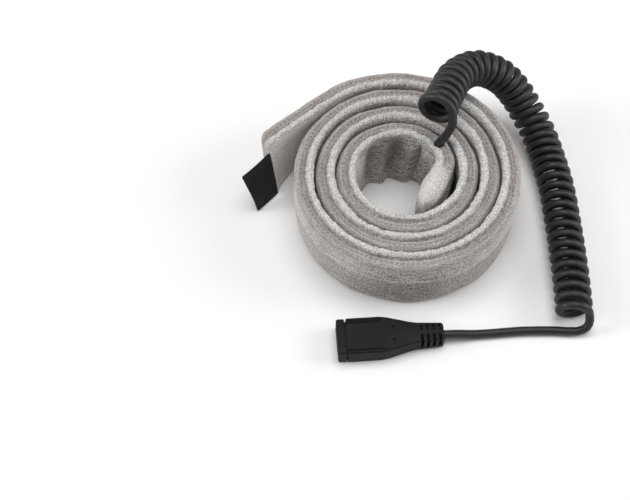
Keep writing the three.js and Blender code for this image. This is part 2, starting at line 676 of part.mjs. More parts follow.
function buildSocket() {
  const socket = new THREE.Group();
  socket.add(namedMesh('socket_housing', socketHousing(), materials.housing));
  socket.add(namedMesh('socket_shell', socketShell(), materials.steel));
  socket.add(namedMesh('socket_tongue', socketTongue(), materials.blackCore));
  socket.add(namedMesh('inner_mould', innerMould(), materials.mould));
  for (let i = 0; i < CONTACT_COUNT; i += 1) {
    socket.add(namedMesh(`contact_${i + 1}`, contactBox(i, 0), materials.brass));
  }
  socket.add(namedMesh('core_red', socketCore(1), materials.redCore));
  socket.add(namedMesh('core_black', socketCore(-1), materials.blackCore));
  socket.position.copy(socketPoint(0));
  socket.rotation.z = THREE.MathUtils.degToRad(SOCKET_ANGLE);
  return socket;
}

const heater = new THREE.Group();
const strip = buildStrip();
heater.add(strip, buildCord(), buildSocket());

// The origin goes under the middle of the strip's own box, without the cord
const stripBox = new THREE.Box3().setFromObject(strip);
const stripMiddle = stripBox.getCenter(new THREE.Vector3());
heater.position.set(-stripMiddle.x, -stripMiddle.y, -stripBox.min.z);

export default heater;
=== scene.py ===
"""Telescope dew heater strip: the looks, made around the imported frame.

A padded fleece strip is rolled up on its edge. A curly cord leaves it beside the inner fold, arches
over the roll and ends in an inline socket. Metres, +Z up. Plan coordinates of the roll and the cord
are counted from the roll's centre, as the spiral is.
"""

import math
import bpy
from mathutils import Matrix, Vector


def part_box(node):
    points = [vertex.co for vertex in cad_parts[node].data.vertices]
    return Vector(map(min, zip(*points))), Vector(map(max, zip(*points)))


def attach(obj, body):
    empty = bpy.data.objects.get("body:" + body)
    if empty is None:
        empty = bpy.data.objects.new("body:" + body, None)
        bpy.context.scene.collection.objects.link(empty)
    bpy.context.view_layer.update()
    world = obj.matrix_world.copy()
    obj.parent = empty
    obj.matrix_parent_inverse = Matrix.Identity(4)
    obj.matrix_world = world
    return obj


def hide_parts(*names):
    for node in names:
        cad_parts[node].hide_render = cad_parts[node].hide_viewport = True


bl_info = {
    "name": "Dew heater strip",
    "version": (1, 0, 0),
    "blender": (4, 5, 0),
    "location": "3D View > Sidebar > Heater",
    "description": "Builds a rolled fleece heater strip with its curly cord and inline socket",
    "category": "Object",
}

from types import SimpleNamespace

import bmesh
import bpy
import numpy as np
from bpy.props import FloatProperty, FloatVectorProperty, IntProperty, PointerProperty
from mathutils import Matrix, Vector

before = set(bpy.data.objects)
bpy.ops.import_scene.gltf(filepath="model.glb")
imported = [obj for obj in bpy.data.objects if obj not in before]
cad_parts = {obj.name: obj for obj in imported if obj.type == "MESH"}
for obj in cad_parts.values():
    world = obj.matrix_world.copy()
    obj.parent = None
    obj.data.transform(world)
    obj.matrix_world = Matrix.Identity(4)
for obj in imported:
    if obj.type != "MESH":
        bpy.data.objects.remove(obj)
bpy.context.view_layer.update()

MM = 0.001
BODY = "root"

# Fleece strip, as in the part: its section, and the line that it is rolled along
STRIP_WIDTH = 26 * MM
HALF_THICKNESS = 3.3 * MM
FOOT_HALF = 1.9 * MM
INNER_LOBE_RADIUS = 1.4 * MM
OUTER_LOBE_RADIUS = 1.9 * MM
OUTER_LOBE_DROP = 1.3 * MM
SEAM_DEPTH = 0.9 * MM
TURN_PITCH = 7.35 * MM
START_RADIUS = 17.45 * MM
START_ANGLE = 80
FOLD_ANGLE = 24
OUTER_ANGLE = 1211
FOLD_RADIUS = 5 * MM
FOLD_TURN = 46
INNER_TAIL = 18 * MM
OUTER_TAIL = 28.5 * MM
ENTRY_PAST_FOLD = 4.2 * MM

# Fleece strip, finer than in the part: a rounder foot outside, a round top and a swelling on the inner
# tail, and an outer tail that leans in at its foot and runs out further there
FOOT_SWELL = 2.4
TAIL_SHOULDER = 22 * MM
TAIL_TOP_DROP = 0.4 * MM
TAIL_SWELL = 0.3
TAIL_SWELL_AT = 10 * MM
TAIL_SWELL_HALF = 6.5 * MM
TAIL_SLANT = math.radians(-6)
TAIL_BEND = 23 * MM
TAIL_LEAN = 7 * MM
END_SEAM_FOOT = 2.5 * MM
END_SEAM_TOP = STRIP_WIDTH - 3 * MM
END_ROUND = 3.2 * MM

# Surface of the fleece, outwards from the strip's middle or up from its foot: the inner lobe, painted
# bright as a highlight, the groove and the row of stitches along the top, darker as seams and as painted
# shade, the outer band, painted grey as shade, and the crease round the outer wall, painted lighter as a
# highlight and darker below it as shade
TOP_FROM = 22.6 * MM
WALL_FROM = 2.4 * MM
INNER_WALL_TOP = 24.6 * MM
OUTER_WALL_TOP = 23 * MM
LOBE_AT = -1.9 * MM
LOBE_HALF = 1.6 * MM
GROOVE_AT = -0.35 * MM
GROOVE_HALF = 0.3 * MM
GROOVE_PULL = 0.1 * MM
STITCHES_AT = 1.1 * MM
STITCHES_HALF = 0.32 * MM
STITCH_DEPTH = 0.42 * MM
STITCH_PITCH = 1.7 * MM
BAND_FROM = -0.4 * MM
BAND_BLEND = 0.8 * MM
BAND_FOOT = 21 * MM
BAND_RISE = 3 * MM
CREASE_AT = 15.8 * MM
CREASE_HALF = 0.55 * MM
CREASE_RISE = 0.3 * MM
CREASE_FOOT = 15.4 * MM
CREASE_FOOT_BLEND = 2 * MM
CREASE_STEP = 0.3 * MM

# Inner wall: its folds are full from a low height on and fade out at a high one. At the roll's back its
# foot bulges, at an angle along the spiral in degrees
FOLD_FULL_FROM = 5 * MM
FOLD_FOOT_SHARE = 0.6
FOLD_TOP = 24 * MM
FOLD_FADE = 6 * MM
FLARE_ANGLE = 98
FLARE_HALF = 40
FLARE_TOP = 13 * MM
FLARE_OUT = 2.6 * MM

# Round the cord, where it leaves the fleece
CORD_CLEARANCE = 0.12 * MM
ENTRY_FROM = 15 * MM
ENTRY_FLOOR = 19 * MM
MOUND_RADIUS = 3.6 * MM
MOUND_RISE = 0.1 * MM

# Label tab
LABEL_WIDTH = 19 * MM
LABEL_LENGTH = 12 * MM
LABEL_ROOT = 1.4 * MM
LABEL_FLOOR = 1.3 * MM
LABEL_INSET = 1.6 * MM
LABEL_REACH = 0.9 * MM
LABEL_SLANT = math.radians(4)
LABEL_SWING = math.radians(10)
LABEL_PLY = 0.24 * MM
LABEL_BEND = 0.2 * MM
LABEL_CURL = 0.9 * MM
LABEL_WAVE = 0.35 * MM

# Cord and its collar
CORD_DIAMETER = 3 * MM
CORD_END_DROP = 12 * MM
CORD_STAND = 0.6 * MM

# Curly part. Its first turn starts a little past the riser's side, and its last one ends short of the
# right side. The turns stand wider apart at the start, and on the floor, from a share of the length on.
# On the inside of a bend they stay at least so many cord diameters apart
COIL_DIAMETER = 13 * MM
COIL_LEAD_IN = 2 * MM
COIL_START_ON = math.radians(26)
COIL_END_BACK = math.radians(14)
COIL_PITCH = 3.3 * MM
START_PITCH_MORE = 0.9 * MM
START_TURNS_LENGTH = 4 * MM
FLOOR_PITCH_MORE = 0.8 * MM
FLOOR_TURNS_FROM = 0.45
FLOOR_TURNS_BLEND = 0.2
CLOSEST_TURNS = 1.03
FIRST_TURN_LOOSE = 0.2

# Inline socket, along its axis from the mouth
SOCKET_ANGLE = math.radians(3.8)
SOCKET_MOUTH = Vector((-22.9, -55.2, 3.5)) * MM
BODY_WIDTH = 13.4 * MM
BODY_THICKNESS = 7 * MM
COLLAR_RIM = 2.8 * MM
COLLAR_STEP = 0.1 * MM
GROOVE_WIDTH = 0.5 * MM
GROOVE_DEPTH = 0.8 * MM
BODY_LENGTH = 11.9 * MM
TAPER_LENGTH = 12 * MM
RELIEF_LENGTH = 9.2 * MM
RELIEF_WIDTH = 6.5 * MM
TAPER_NARROWS = 5.8 * MM
TAPER_THINS = 1 * MM
SLOT_WIDTH = 0.95 * MM
SLOT_PITCH = 2.05 * MM
CORD_IN_SOCKET = 15.5 * MM
BODY_START = COLLAR_RIM + GROOVE_WIDTH
TAPER_START = BODY_START + BODY_LENGTH
RELIEF_START = TAPER_START + TAPER_LENGTH
SOCKET_LENGTH = RELIEF_START + RELIEF_LENGTH

# What is cut out of the socket: the windows of its strain relief, which leave a round core, a spine and
# side rails, a panel and two dimples on both faces, and its rooms and bore
RELIEF_CORE = 2.4 * MM
SPINE_HALF = 0.75 * MM
RAIL_HALF = 1.45 * MM
WINDOW_FLOOR = 1.95 * MM
WINDOW_MARGIN = 0.6 * MM
CLEAR_OF_RELIEF = 6 * MM
PANEL_DEPTH = 0.7 * MM
PANEL_FLOOR_WIDTH = 9.4 * MM
PANEL_FLOOR_END = 14.4 * MM
PANEL_WIDTH = 11.8 * MM
PANEL_END = 16.8 * MM
DIMPLE_RADIUS = 0.55 * MM
DIMPLE_ALONG = TAPER_START + 4.1 * MM
DIMPLE_ACROSS = 2.35 * MM
DIMPLE_SUNK = 0.1 * MM
CORD_BORE_START = 13 * MM
CORD_BORE_END = 37 * MM

# Start, end, width and height of the rooms for the metal shell and for the inner mould
SHELL_ROOM = (-1 * MM, 7.1 * MM, 8.2 * MM, 3.4 * MM)
MOULD_ROOM = (6.5 * MM, 15.1 * MM, 10.2 * MM, 4.8 * MM)

# Camera and light
CAMERA_PLACE = Vector((-30.3, -249.65, 401.9)) * MM
LIGHT_AIM = Vector((0, 0, 0.01))
SOFTBOXES = (
    ("Overhead softbox", (0.05, 0.15, 1.1), 0.8, 6.5),
    ("Left softbox", (-0.95, -0.05, 0.5), 0.6, 5.0),
    ("Right softbox", (0.95, 0.05, 0.5), 0.6, 5.0),
)

# Looks: the fleece's masks of painted highlight, painted shade and smoother pile, how light its smoother
# pile is, which is painted light on the walls that face the side softboxes, and the colour, dust and
# grain of each plastic and the colour of each metal inside, with the nodes that have them
MASKS = ("ridge_and_highlight", "seam_and_shade", "nap_and_painted_light")
SMOOTH_NAP_TONE = 0.69
SLEEVE_COLOURS = ((0.012, 0.012, 0.013), (0.04, 0.04, 0.04))
INNER_PLASTICS = (
    ("Splice sleeve", *SLEEVE_COLOURS, 2.0, "splice_sleeve_red", "splice_sleeve_black"),
    ("Red insulation", (0.42, 0.03, 0.025), (0.5, 0.1, 0.09), 3.0, "power_wire_red", "core_red"),
    ("Black insulation", (0.014, 0.014, 0.015), (0.05, 0.05, 0.05), 3.0, "power_wire_black",
     "core_black"),
    ("Nylon", (0.76, 0.74, 0.68), (0.82, 0.8, 0.75), 2.0, "cord_tie"),
    ("Tongue plastic", (0.013, 0.013, 0.014), (0.03, 0.03, 0.03), 6.0, "socket_tongue"),
    ("Inner mould", (0.68, 0.67, 0.62), (0.74, 0.73, 0.69), 4.0, "inner_mould"),
)
INNER_METALS = (
    ("Resistance wire", (0.52, 0.49, 0.45), "heating_wire"),
    ("Plated steel", (0.6, 0.61, 0.62), "socket_shell"),
    ("Plated contacts", (0.78, 0.6, 0.28), *(f"contact_{index}" for index in range(1, 6))),
)


class FleeceSettings(bpy.types.PropertyGroup):
    """Sizes and colours of the fleece strip"""
    step: FloatProperty(
        name="Mesh step", description="Distance between mesh points along and around the strip",
        default=0.43 * MM, min=0.2 * MM, unit="LENGTH", precision=5)
    pile: FloatProperty(
        name="Pile height", description="How far the tufts stand out on the bright ridge",
        default=0.42 * MM, unit="LENGTH", precision=5)
    light: FloatVectorProperty(
        name="Tips", description="Colour of the pile's tips", subtype="COLOR",
        default=(0.93, 0.915, 0.895), min=0, max=1)
    # Roots: painted shade between the tufts. The fleece's other painted shade and its seams are darkened
    # towards this colour too
    shade_and_seam_colour: FloatVectorProperty(
        name="Shaded roots", description="Colour between the tufts", subtype="COLOR",
        default=(0.135, 0.115, 0.105), min=0, max=1)
    seed: IntProperty(name="Seed", description="Seed of the lumps and tufts", default=11)


class CordSettings(bpy.types.PropertyGroup):
    """Sizes and colour of the curly cord"""
    diameter: FloatProperty(
        name="Diameter", description="Thickness of the cord", default=CORD_DIAMETER, unit="LENGTH",
        precision=5)
    coil: FloatProperty(
        name="Coil diameter", description="Outer diameter of the curly part", default=COIL_DIAMETER,
        unit="LENGTH", precision=5)
    length: FloatProperty(
        name="Cord length", description="Length of the cord, curls followed", default=1.31,
        unit="LENGTH")
    jacket: FloatVectorProperty(
        name="Jacket", description="Colour of the cord's jacket", subtype="COLOR",
        default=(0.007, 0.0074, 0.0076), min=0, max=1)


class SocketSettings(bpy.types.PropertyGroup):
    """Sizes and colour of the inline socket"""
    edge: FloatProperty(
        name="Edge radius", description="Radius of the moulding's long edges", default=0.6 * MM,
        unit="LENGTH", precision=5)
    moulding: FloatVectorProperty(
        name="Moulding", description="Colour of the moulded housing", subtype="COLOR",
        default=(0.0062, 0.0067, 0.007), min=0, max=1)


class StageSettings(bpy.types.PropertyGroup):
    """Camera and light"""
    lens: FloatProperty(
        name="Lens", description="Focal length on a 36 mm sensor, in millimetres", default=74.57)
    downward: FloatProperty(
        name="Camera angle", description="How far the camera looks down", subtype="ANGLE",
        default=math.radians(60))
    floor: FloatVectorProperty(
        name="Floor", description="Colour of the floor", subtype="COLOR", default=(0.92, 0.92, 0.92),
        min=0, max=1)
    sky: FloatProperty(name="Surrounding light", description="Strength of the even light", default=0.3)


# Routes

def catmull_rom(points, pieces=24):
    """A centripetal curve through the points, with so many pieces between each two."""
    pts = np.array([tuple(p) for p in points], float)
    pts = np.vstack([2 * pts[0] - pts[1], pts, 2 * pts[-1] - pts[-2]])
    share = np.linspace(0, 1, pieces, endpoint=False)[:, None]
    line = []
    for before, start, end, after in zip(pts, pts[1:], pts[2:], pts[3:]):
        d0, d1, d2 = (math.sqrt(np.linalg.norm(b - a)) for a, b in
                      ((before, start), (start, end), (end, after)))
        leave = ((start - before) / d0 - (end - before) / (d0 + d1) + (end - start) / d1) * d1
        reach = ((end - start) / d1 - (after - start) / (d1 + d2) + (after - end) / d2) * d1
        line.append(start + leave * share + (3 * (end - start) - 2 * leave - reach) * share ** 2
                    + (2 * (start - end) + leave + reach) * share ** 3)
    return np.vstack([*line, pts[-2:-1]])


def distances(line):
    return np.concatenate([[0], np.cumsum(np.linalg.norm(np.diff(line, axis=0), axis=1))])


class Route:
    """A line that gives its points and directions by distance."""

    def __init__(self, line):
        self.line = line
        self.along = distances(line)
        self.length = self.along[-1]

    def points(self, distance):
        distance = np.asarray(distance, float)
        inside = np.stack([np.interp(distance, self.along, axis) for axis in self.line.T], -1)
        past = np.maximum(distance - self.length, 0)[..., None]
        return inside + past * self.directions(np.minimum(distance, self.length))

    def directions(self, distance, reach=0.4 * MM):
        low = np.clip(np.asarray(distance) - reach, 0, self.length - 2 * reach)
        ends = [np.stack([np.interp(d, self.along, axis) for axis in self.line.T], -1)
                for d in (low, low + 2 * reach)]
        step = ends[1] - ends[0]
        return step / np.linalg.norm(step, axis=-1, keepdims=True)


def spiral_point(degrees):
    radius = START_RADIUS + (degrees - START_ANGLE) / 360 * TURN_PITCH
    return radius * np.array([math.cos(math.radians(degrees)), math.sin(math.radians(degrees))])


def spiral_direction(degrees):
    step = spiral_point(degrees + 1) - spiral_point(degrees - 1)
    return step / np.linalg.norm(step)


def turned(direction, degrees):
    c, s = math.cos(math.radians(degrees)), math.sin(math.radians(degrees))
    return np.array([c * direction[0] - s * direction[1], s * direction[0] + c * direction[1]])


def strip_route():
    """The strip's centreline in plan: inner tail, fold, spiral, outer tail."""
    fold_direction = spiral_direction(FOLD_ANGLE)
    fold_centre = spiral_point(FOLD_ANGLE) + FOLD_RADIUS * turned(fold_direction, 90)
    tail_direction = turned(fold_direction, -FOLD_TURN)
    fold_start = fold_centre + FOLD_RADIUS * turned(tail_direction, -90)
    points = [fold_start - share * INNER_TAIL * tail_direction for share in (1, 0.6, 0.25)]
    points += [fold_centre + FOLD_RADIUS * turned(tail_direction, -90 + FOLD_TURN * share)
               for share in (0, 0.33, 0.67)]
    points += [spiral_point(angle) for angle in range(FOLD_ANGLE, OUTER_ANGLE - 6, 12)]
    outer_direction = spiral_direction(OUTER_ANGLE)
    points += [spiral_point(OUTER_ANGLE) + share * OUTER_TAIL * outer_direction
               for share in (0, 0.3, 0.65, 1)]
    return Route(catmull_rom(points))


STRIP = strip_route()
ENTRY_AT = INNER_TAIL + FOLD_RADIUS * math.radians(FOLD_TURN) + ENTRY_PAST_FOLD
ENTRY = STRIP.points(ENTRY_AT)
COLLAR_LOW, COLLAR_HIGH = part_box("entry_collar")
ROLL_CENTRE = Vector(((COLLAR_LOW.x + COLLAR_HIGH.x) / 2 - ENTRY[0],
                      (COLLAR_LOW.y + COLLAR_HIGH.y) / 2 - ENTRY[1], 0))


def socket_point(along):
    """A point on the socket's axis, counted from the roll's centre."""
    return SOCKET_MOUTH + along * Vector((math.cos(SOCKET_ANGLE), math.sin(SOCKET_ANGLE), 0))


def millimetres(*points):
    return [np.array(p) * MM for p in points]


def riser_points():
    return [np.array([*ENTRY, STRIP_WIDTH - CORD_END_DROP]),
            np.array([*ENTRY, STRIP_WIDTH - CORD_END_DROP / 2]),
            np.array([*ENTRY, STRIP_WIDTH + CORD_STAND]),
            *millimetres((14.7, 9.6, 31.2), (15.9, 9.6, 35.6), (16.5, 9.6, 39))]


def coil_axis_points():
    return millimetres(
        (11.5, 14.1, 41), (15.1, 22.4, 39.5), (18.9, 30.8, 37), (26.3, 38.2, 32.5), (32.1, 40.2, 28.5),
        (37.4, 40.5, 24), (42.3, 39, 18.5), (46.7, 35.4, 13), (51.5, 27.6, 8.4), (54.4, 17.3, 6.7),
        (56.3, 5.7, 6.7), (57.2, -6.6, 6.7), (57.8, -20.4, 6.7), (58.1, -33.8, 6.7), (57.9, -46.7, 6.7))


def lead_points():
    return [*millimetres(
        (63.1, -48.6, 5.6), (62.4, -50, 3.4), (59.3, -50.8, 1.9), (52.1, -50.4, 1.65),
        (40.4, -50.5, 1.65), (32.5, -51.2, 1.65), (24.6, -51.9, 1.9), (18.5, -52.4, 3)),
        *(np.array(socket_point(SOCKET_LENGTH - back))
          for back in (1 * MM, CORD_IN_SOCKET / 2, CORD_IN_SOCKET))]


def carried(spoke, heading):
    """The spoke, made square to the new heading."""
    square = spoke - (spoke @ heading) * heading
    return square / np.linalg.norm(square)


def coil_points(diameter, coil_diameter, per_turn=28):
    """The curly part's turns round its axis: a left-handed helix that goes from the riser's side of
    the first turn to the right side of the last. The turns stand wider apart towards the floor, and
    in a bend they close up on its inside until they touch. The first turn is a little looser."""
    line = catmull_rom(coil_axis_points())
    ahead = (line[1] - line[0]) / np.linalg.norm(line[1] - line[0])
    axis = Route(np.vstack([line[0] - COIL_LEAD_IN * ahead, line]))
    samples, half_window = 1500, 60
    along = np.linspace(0, axis.length, samples)
    direction = axis.directions(along)
    radius = (coil_diameter - diameter) / 2
    turning = np.linalg.norm(np.gradient(direction, along, axis=0), axis=1)
    window = np.ones(2 * half_window + 1) / (2 * half_window + 1)
    bend = np.convolve(np.pad(turning, half_window, mode="edge"), window, mode="valid")
    on_floor = np.clip((along / axis.length - FLOOR_TURNS_FROM) / FLOOR_TURNS_BLEND, 0, 1)
    at_start = np.exp(-(along / START_TURNS_LENGTH) ** 2)
    rest_pitch = COIL_PITCH + FLOOR_PITCH_MORE * on_floor + START_PITCH_MORE * at_start
    pitch = np.maximum(rest_pitch, CLOSEST_TURNS * diameter / (1 - np.minimum(bend * radius, 0.6)))
    turns = np.concatenate([[0], np.cumsum(np.diff(along) / ((pitch[1:] + pitch[:-1]) / 2))])
    side = np.array(riser_points()[-1]) - axis.line[0]
    spokes = [carried(side, direction[0])]
    for heading in direction[1:]:
        spokes.append(carried(spokes[-1], heading))
    spokes = np.array(spokes)
    across = np.cross(direction, spokes)
    last_side = carried(np.array([1.0, 0, 0]), direction[-1])
    end_angle = math.atan2(-last_side @ across[-1], last_side @ spokes[-1]) - COIL_END_BACK
    end_share = end_angle / (2 * math.pi)
    turns *= (round(turns[-1] - end_share) + end_share) / turns[-1]
    at_turn = np.linspace(COIL_START_ON / (2 * math.pi), turns[-1], int(turns[-1] * per_turn))
    where = np.interp(at_turn, turns, along)
    angle = (2 * math.pi * at_turn)[:, None]
    spoke, other, centre = (np.stack([np.interp(where, along, a) for a in v.T], -1)
                            for v in (spokes, across, axis.points(along)))
    loose = radius * (1 + FIRST_TURN_LOOSE * np.exp(-at_turn ** 2))[:, None]
    return centre + loose * (np.cos(angle) * spoke - np.sin(angle) * other)


# Nodes

def new_material(name):
    """A material with only an output and a Principled shader."""
    material = bpy.data.materials.new(name)
    material.use_nodes = True
    tree = material.node_tree
    return material, tree, tree.nodes["Principled BSDF"]


def wire(tree, source, target):
    """Links a socket to another, or gives it a plain value."""
    if isinstance(source, bpy.types.NodeSocket):
        tree.links.new(source, target)
    else:
        target.default_value = source


def wire_all(tree, node, sources):
    """Wires the node's inputs, which are given by name or number."""
    for key, source in sources.items():
        wire(tree, source, node.inputs[key])


def add(tree, kind, sources=None, **settings):
    """A new node with its settings, and then its inputs."""
    made = tree.nodes.new(kind)
    for name, value in settings.items():
        setattr(made, name, value)
    wire_all(tree, made, sources or {})
    return made


def new_group(name, inputs, outputs):
    """A shader node group with its sockets, and what it is given."""
    group = bpy.data.node_groups.new(name, "ShaderNodeTree")
    for title, kind, default in inputs:
        socket = group.interface.new_socket(title, in_out="INPUT", socket_type=kind)
        if default is not None:
            socket.default_value = default
    for title, kind in outputs:
        group.interface.new_socket(title, in_out="OUTPUT", socket_type=kind)
    return group, group.nodes.new("NodeGroupInput").outputs


def noise(tree, vector, scale, detail=2.0, roughness=0.5):
    sources = {"Vector": vector, "Scale": scale, "Detail": detail, "Roughness": roughness}
    return add(tree, "ShaderNodeTexNoise", sources).outputs["Fac"]


def spread(tree, value, low, high, to_low=0.0, to_high=1.0):
    """Maps a value from one range to another, and keeps it in there."""
    sources = {"Value": value, "From Min": low, "From Max": high, "To Min": to_low, "To Max": to_high}
    return add(tree, "ShaderNodeMapRange", sources, clamp=True).outputs["Result"]


def maths(tree, operation, a, b):
    return add(tree, "ShaderNodeMath", {0: a, 1: b}, operation=operation).outputs["Value"]


def summed(tree, *weighted):
    """The sum of values, each with its weight."""
    total, *others = [maths(tree, "MULTIPLY", value, weight) for value, weight in weighted]
    for other in others:
        total = maths(tree, "ADD", total, other)
    return total


def mixed(tree, factor, a, b, blend="MIX"):
    """A colour that goes from a to b with the factor."""
    sources = {0: factor, 6: a, 7: b}
    return add(tree, "ShaderNodeMix", sources, data_type="RGBA", blend_type=blend).outputs[2]


def blended(tree, factor, a, b):
    """A number that goes from a to b with the factor."""
    return add(tree, "ShaderNodeMix", {0: factor, 2: a, 3: b}, data_type="FLOAT").outputs[0]


def bump(tree, height, distance, strength):
    sources = {"Height": height, "Distance": distance, "Strength": strength}
    return add(tree, "ShaderNodeBump", sources).outputs["Normal"]


def scaled(tree, vector, scale):
    """Texture coordinates stretched by three factors."""
    return add(tree, "ShaderNodeMapping", {"Vector": vector, "Scale": scale}).outputs["Vector"]


def object_millimetres(tree):
    return scaled(tree, add(tree, "ShaderNodeTexCoord").outputs["Object"], (1000, 1000, 1000))


def uv_millimetres(tree, along, around):
    """The piece's own UV map, in millimetres along it and around it."""
    layer = add(tree, "ShaderNodeUVMap", uv_map="UVMap")
    return scaled(tree, layer.outputs["UV"], (along / MM, around / MM, 1))


def rgba(colour):
    return (*colour[:3], 1)


def grain_group():
    """Fine texture of mouldings and jackets: a soft mottle, and a bump."""
    group, given = new_group(
        "Moulded grain",
        [("Vector", "NodeSocketVector", None), ("Scale", "NodeSocketFloat", 4.0),
         ("Depth", "NodeSocketFloat", 0.00002), ("Colour", "NodeSocketColor", (0.02, 0.02, 0.02, 1)),
         ("Dust", "NodeSocketColor", (0.06, 0.06, 0.06, 1))],
        [("Colour", "NodeSocketColor"), ("Roughness", "NodeSocketFloat"),
         ("Normal", "NodeSocketVector")])
    fine = noise(group, given["Vector"], given["Scale"], 3, 0.6)
    broad = noise(group, given["Vector"], 0.22, 3)
    dusty = spread(group, broad, 0.45, 0.8, 0.0, 0.35)
    add(group, "NodeGroupOutput", {
        "Colour": mixed(group, dusty, given["Colour"], given["Dust"]),
        "Roughness": spread(group, broad, 0.3, 0.7, 0.42, 0.58),
        "Normal": bump(group, fine, given["Depth"], 0.6)})
    return group


def pile_group():
    """Short curly pile: tufts that are light at their tips, with painted shade at their roots between
    them. On the ridges the tufts are combed across the strip, and elsewhere they lie in lines along it.
    Where the pile is smoother, the tufts show less and its tone goes to a set lighter one, which the
    fleece uses partly as painted light."""
    group, given = new_group(
        "Curly pile",
        [("Vector", "NodeSocketVector", None), ("Across", "NodeSocketVector", None),
         ("Along", "NodeSocketVector", None), ("Ridge", "NodeSocketFloat", 0.0),
         ("Nap and painted light", "NodeSocketFloat", 0.0), ("Depth", "NodeSocketFloat", 0.0004),
         ("Tips", "NodeSocketColor", (0.7, 0.7, 0.7, 1)),
         ("Shaded roots", "NodeSocketColor", (0.3, 0.3, 0.3, 1))],
        [("Colour", "NodeSocketColor"), ("Normal", "NodeSocketVector")])
    curls = add(group, "ShaderNodeTexVoronoi",
                {"Vector": given["Vector"], "Scale": 2.2, "Smoothness": 0.3}, feature="SMOOTH_F1")
    tuft = spread(group, curls.outputs["Distance"], 0.15, 0.75, 1.0, 0.0)
    fine = noise(group, given["Vector"], 3.1, 2, 0.75)
    across, along = (noise(group, given[title], 1.0, 2, 0.6) for title in ("Across", "Along"))
    combed = blended(group, given["Ridge"], along, across)
    height = summed(group, (tuft, 0.14), (fine, 0.56), (combed, 0.3))
    smooth = maths(group, "MULTIPLY", given["Nap and painted light"], 0.72)
    tip = blended(group, smooth, spread(group, height, 0.42, 0.58), SMOOTH_NAP_TONE)
    add(group, "NodeGroupOutput", {
        "Colour": mixed(group, tip, given["Shaded roots"], given["Tips"]),
        "Normal": bump(group, tip, given["Depth"], 0.55)})
    return group


def weave_group():
    """A plain weave from two sets of threads, with painted shade in the gaps between them."""
    group, given = new_group(
        "Plain weave",
        [("Vector", "NodeSocketVector", None), ("Threads", "NodeSocketFloat", 2.5),
         ("Depth", "NodeSocketFloat", 0.00008), ("Colour", "NodeSocketColor", (0.03, 0.03, 0.03, 1)),
         ("Gap shade", "NodeSocketColor", (0.01, 0.01, 0.01, 1))],
        [("Colour", "NodeSocketColor"), ("Normal", "NodeSocketVector")])
    sources = {"Vector": given["Vector"], "Scale": given["Threads"], "Distortion": 0.6, "Detail": 1.5}
    threads = [add(group, "ShaderNodeTexWave", sources, wave_type="BANDS", bands_direction=way)
               for way in ("X", "Y")]
    height = maths(group, "MAXIMUM", *(thread.outputs["Fac"] for thread in threads))
    shade = spread(group, height, 0.3, 1.0)
    add(group, "NodeGroupOutput", {
        "Colour": mixed(group, shade, given["Gap shade"], given["Colour"]),
        "Normal": bump(group, height, given["Depth"], 0.9)})
    return group


def brushed_group():
    """Fine drawn or rolled scratches along X."""
    group, given = new_group(
        "Rolled metal",
        [("Vector", "NodeSocketVector", None), ("Scale", "NodeSocketFloat", 3.0)],
        [("Roughness", "NodeSocketFloat"), ("Normal", "NodeSocketVector")])
    lines = scaled(group, given["Vector"], (0.12, 4, 4))
    scratch = noise(group, lines, given["Scale"], 3, 0.6)
    add(group, "NodeGroupOutput", {
        "Roughness": spread(group, scratch, 0.3, 0.7, 0.24, 0.42),
        "Normal": bump(group, scratch, 0.00001, 0.5)})
    return group


GRAIN = grain_group()
PILE = pile_group()
WEAVE = weave_group()
ROLLED = brushed_group()


# Materials

def placed_group(tree, group, sources):
    return add(tree, "ShaderNodeGroup", sources, node_tree=group).outputs


def fleece_material(settings):
    """Light grey fleece. Its attributes say where the ridges are, with a painted highlight, where the
    seams and the painted shade are, and where the pile is smoother and lighter, partly as painted light."""
    material, tree, shader = new_material("Fleece")
    ridge_and_highlight, seam_and_shade, nap_and_painted_light = (add(tree, "ShaderNodeAttribute", attribute_name=name).outputs["Fac"]
                        for name in MASKS)
    place = uv_millimetres(tree, STRIP.length, SECTION_LENGTH)
    vector = object_millimetres(tree)
    pile = placed_group(tree, PILE, {
        "Vector": vector, "Across": scaled(tree, place, (2.2, 0.5, 1)),
        "Along": scaled(tree, place, (0.16, 2.0, 1)), "Ridge": ridge_and_highlight, "Nap and painted light": nap_and_painted_light,
        "Tips": rgba(settings.light), "Shaded roots": rgba(settings.shade_and_seam_colour)})
    tint = spread(tree, noise(tree, vector, 0.05, 3), 0.35, 0.65, 0.0, 0.8)
    warm = mixed(tree, tint, pile["Colour"], (0.955, 0.905, 0.89, 1), "MULTIPLY")
    # Painted highlight: the ridges, the crease and the inside of the inner tail are mixed towards the
    # tips' colour
    lit = mixed(tree, maths(tree, "MULTIPLY", ridge_and_highlight, 0.4), warm, rgba(settings.light))
    # Painted shade, with the seams' own dark lines: mixed towards the roots' shade colour
    seamed_and_shaded = mixed(tree, maths(tree, "MULTIPLY", seam_and_shade, 0.7), lit, rgba(settings.shade_and_seam_colour))
    wire_all(tree, shader, {
        "Base Color": seamed_and_shaded, "Normal": pile["Normal"], "Roughness": 0.95, "Specular IOR Level": 0.12,
        "Sheen Weight": 0.25, "Sheen Roughness": 0.5})
    return material


def batting_material():
    material, tree, shader = new_material("Batting")
    vector = object_millimetres(tree)
    # Darker between the tufts: painted shade
    pile = placed_group(tree, PILE, {
        "Vector": vector, "Across": vector, "Along": vector, "Tips": (0.9, 0.89, 0.86, 1),
        "Shaded roots": (0.62, 0.6, 0.56, 1)})
    wire_all(tree, shader, {
        "Base Color": pile["Colour"], "Normal": pile["Normal"], "Roughness": 1.0})
    return material


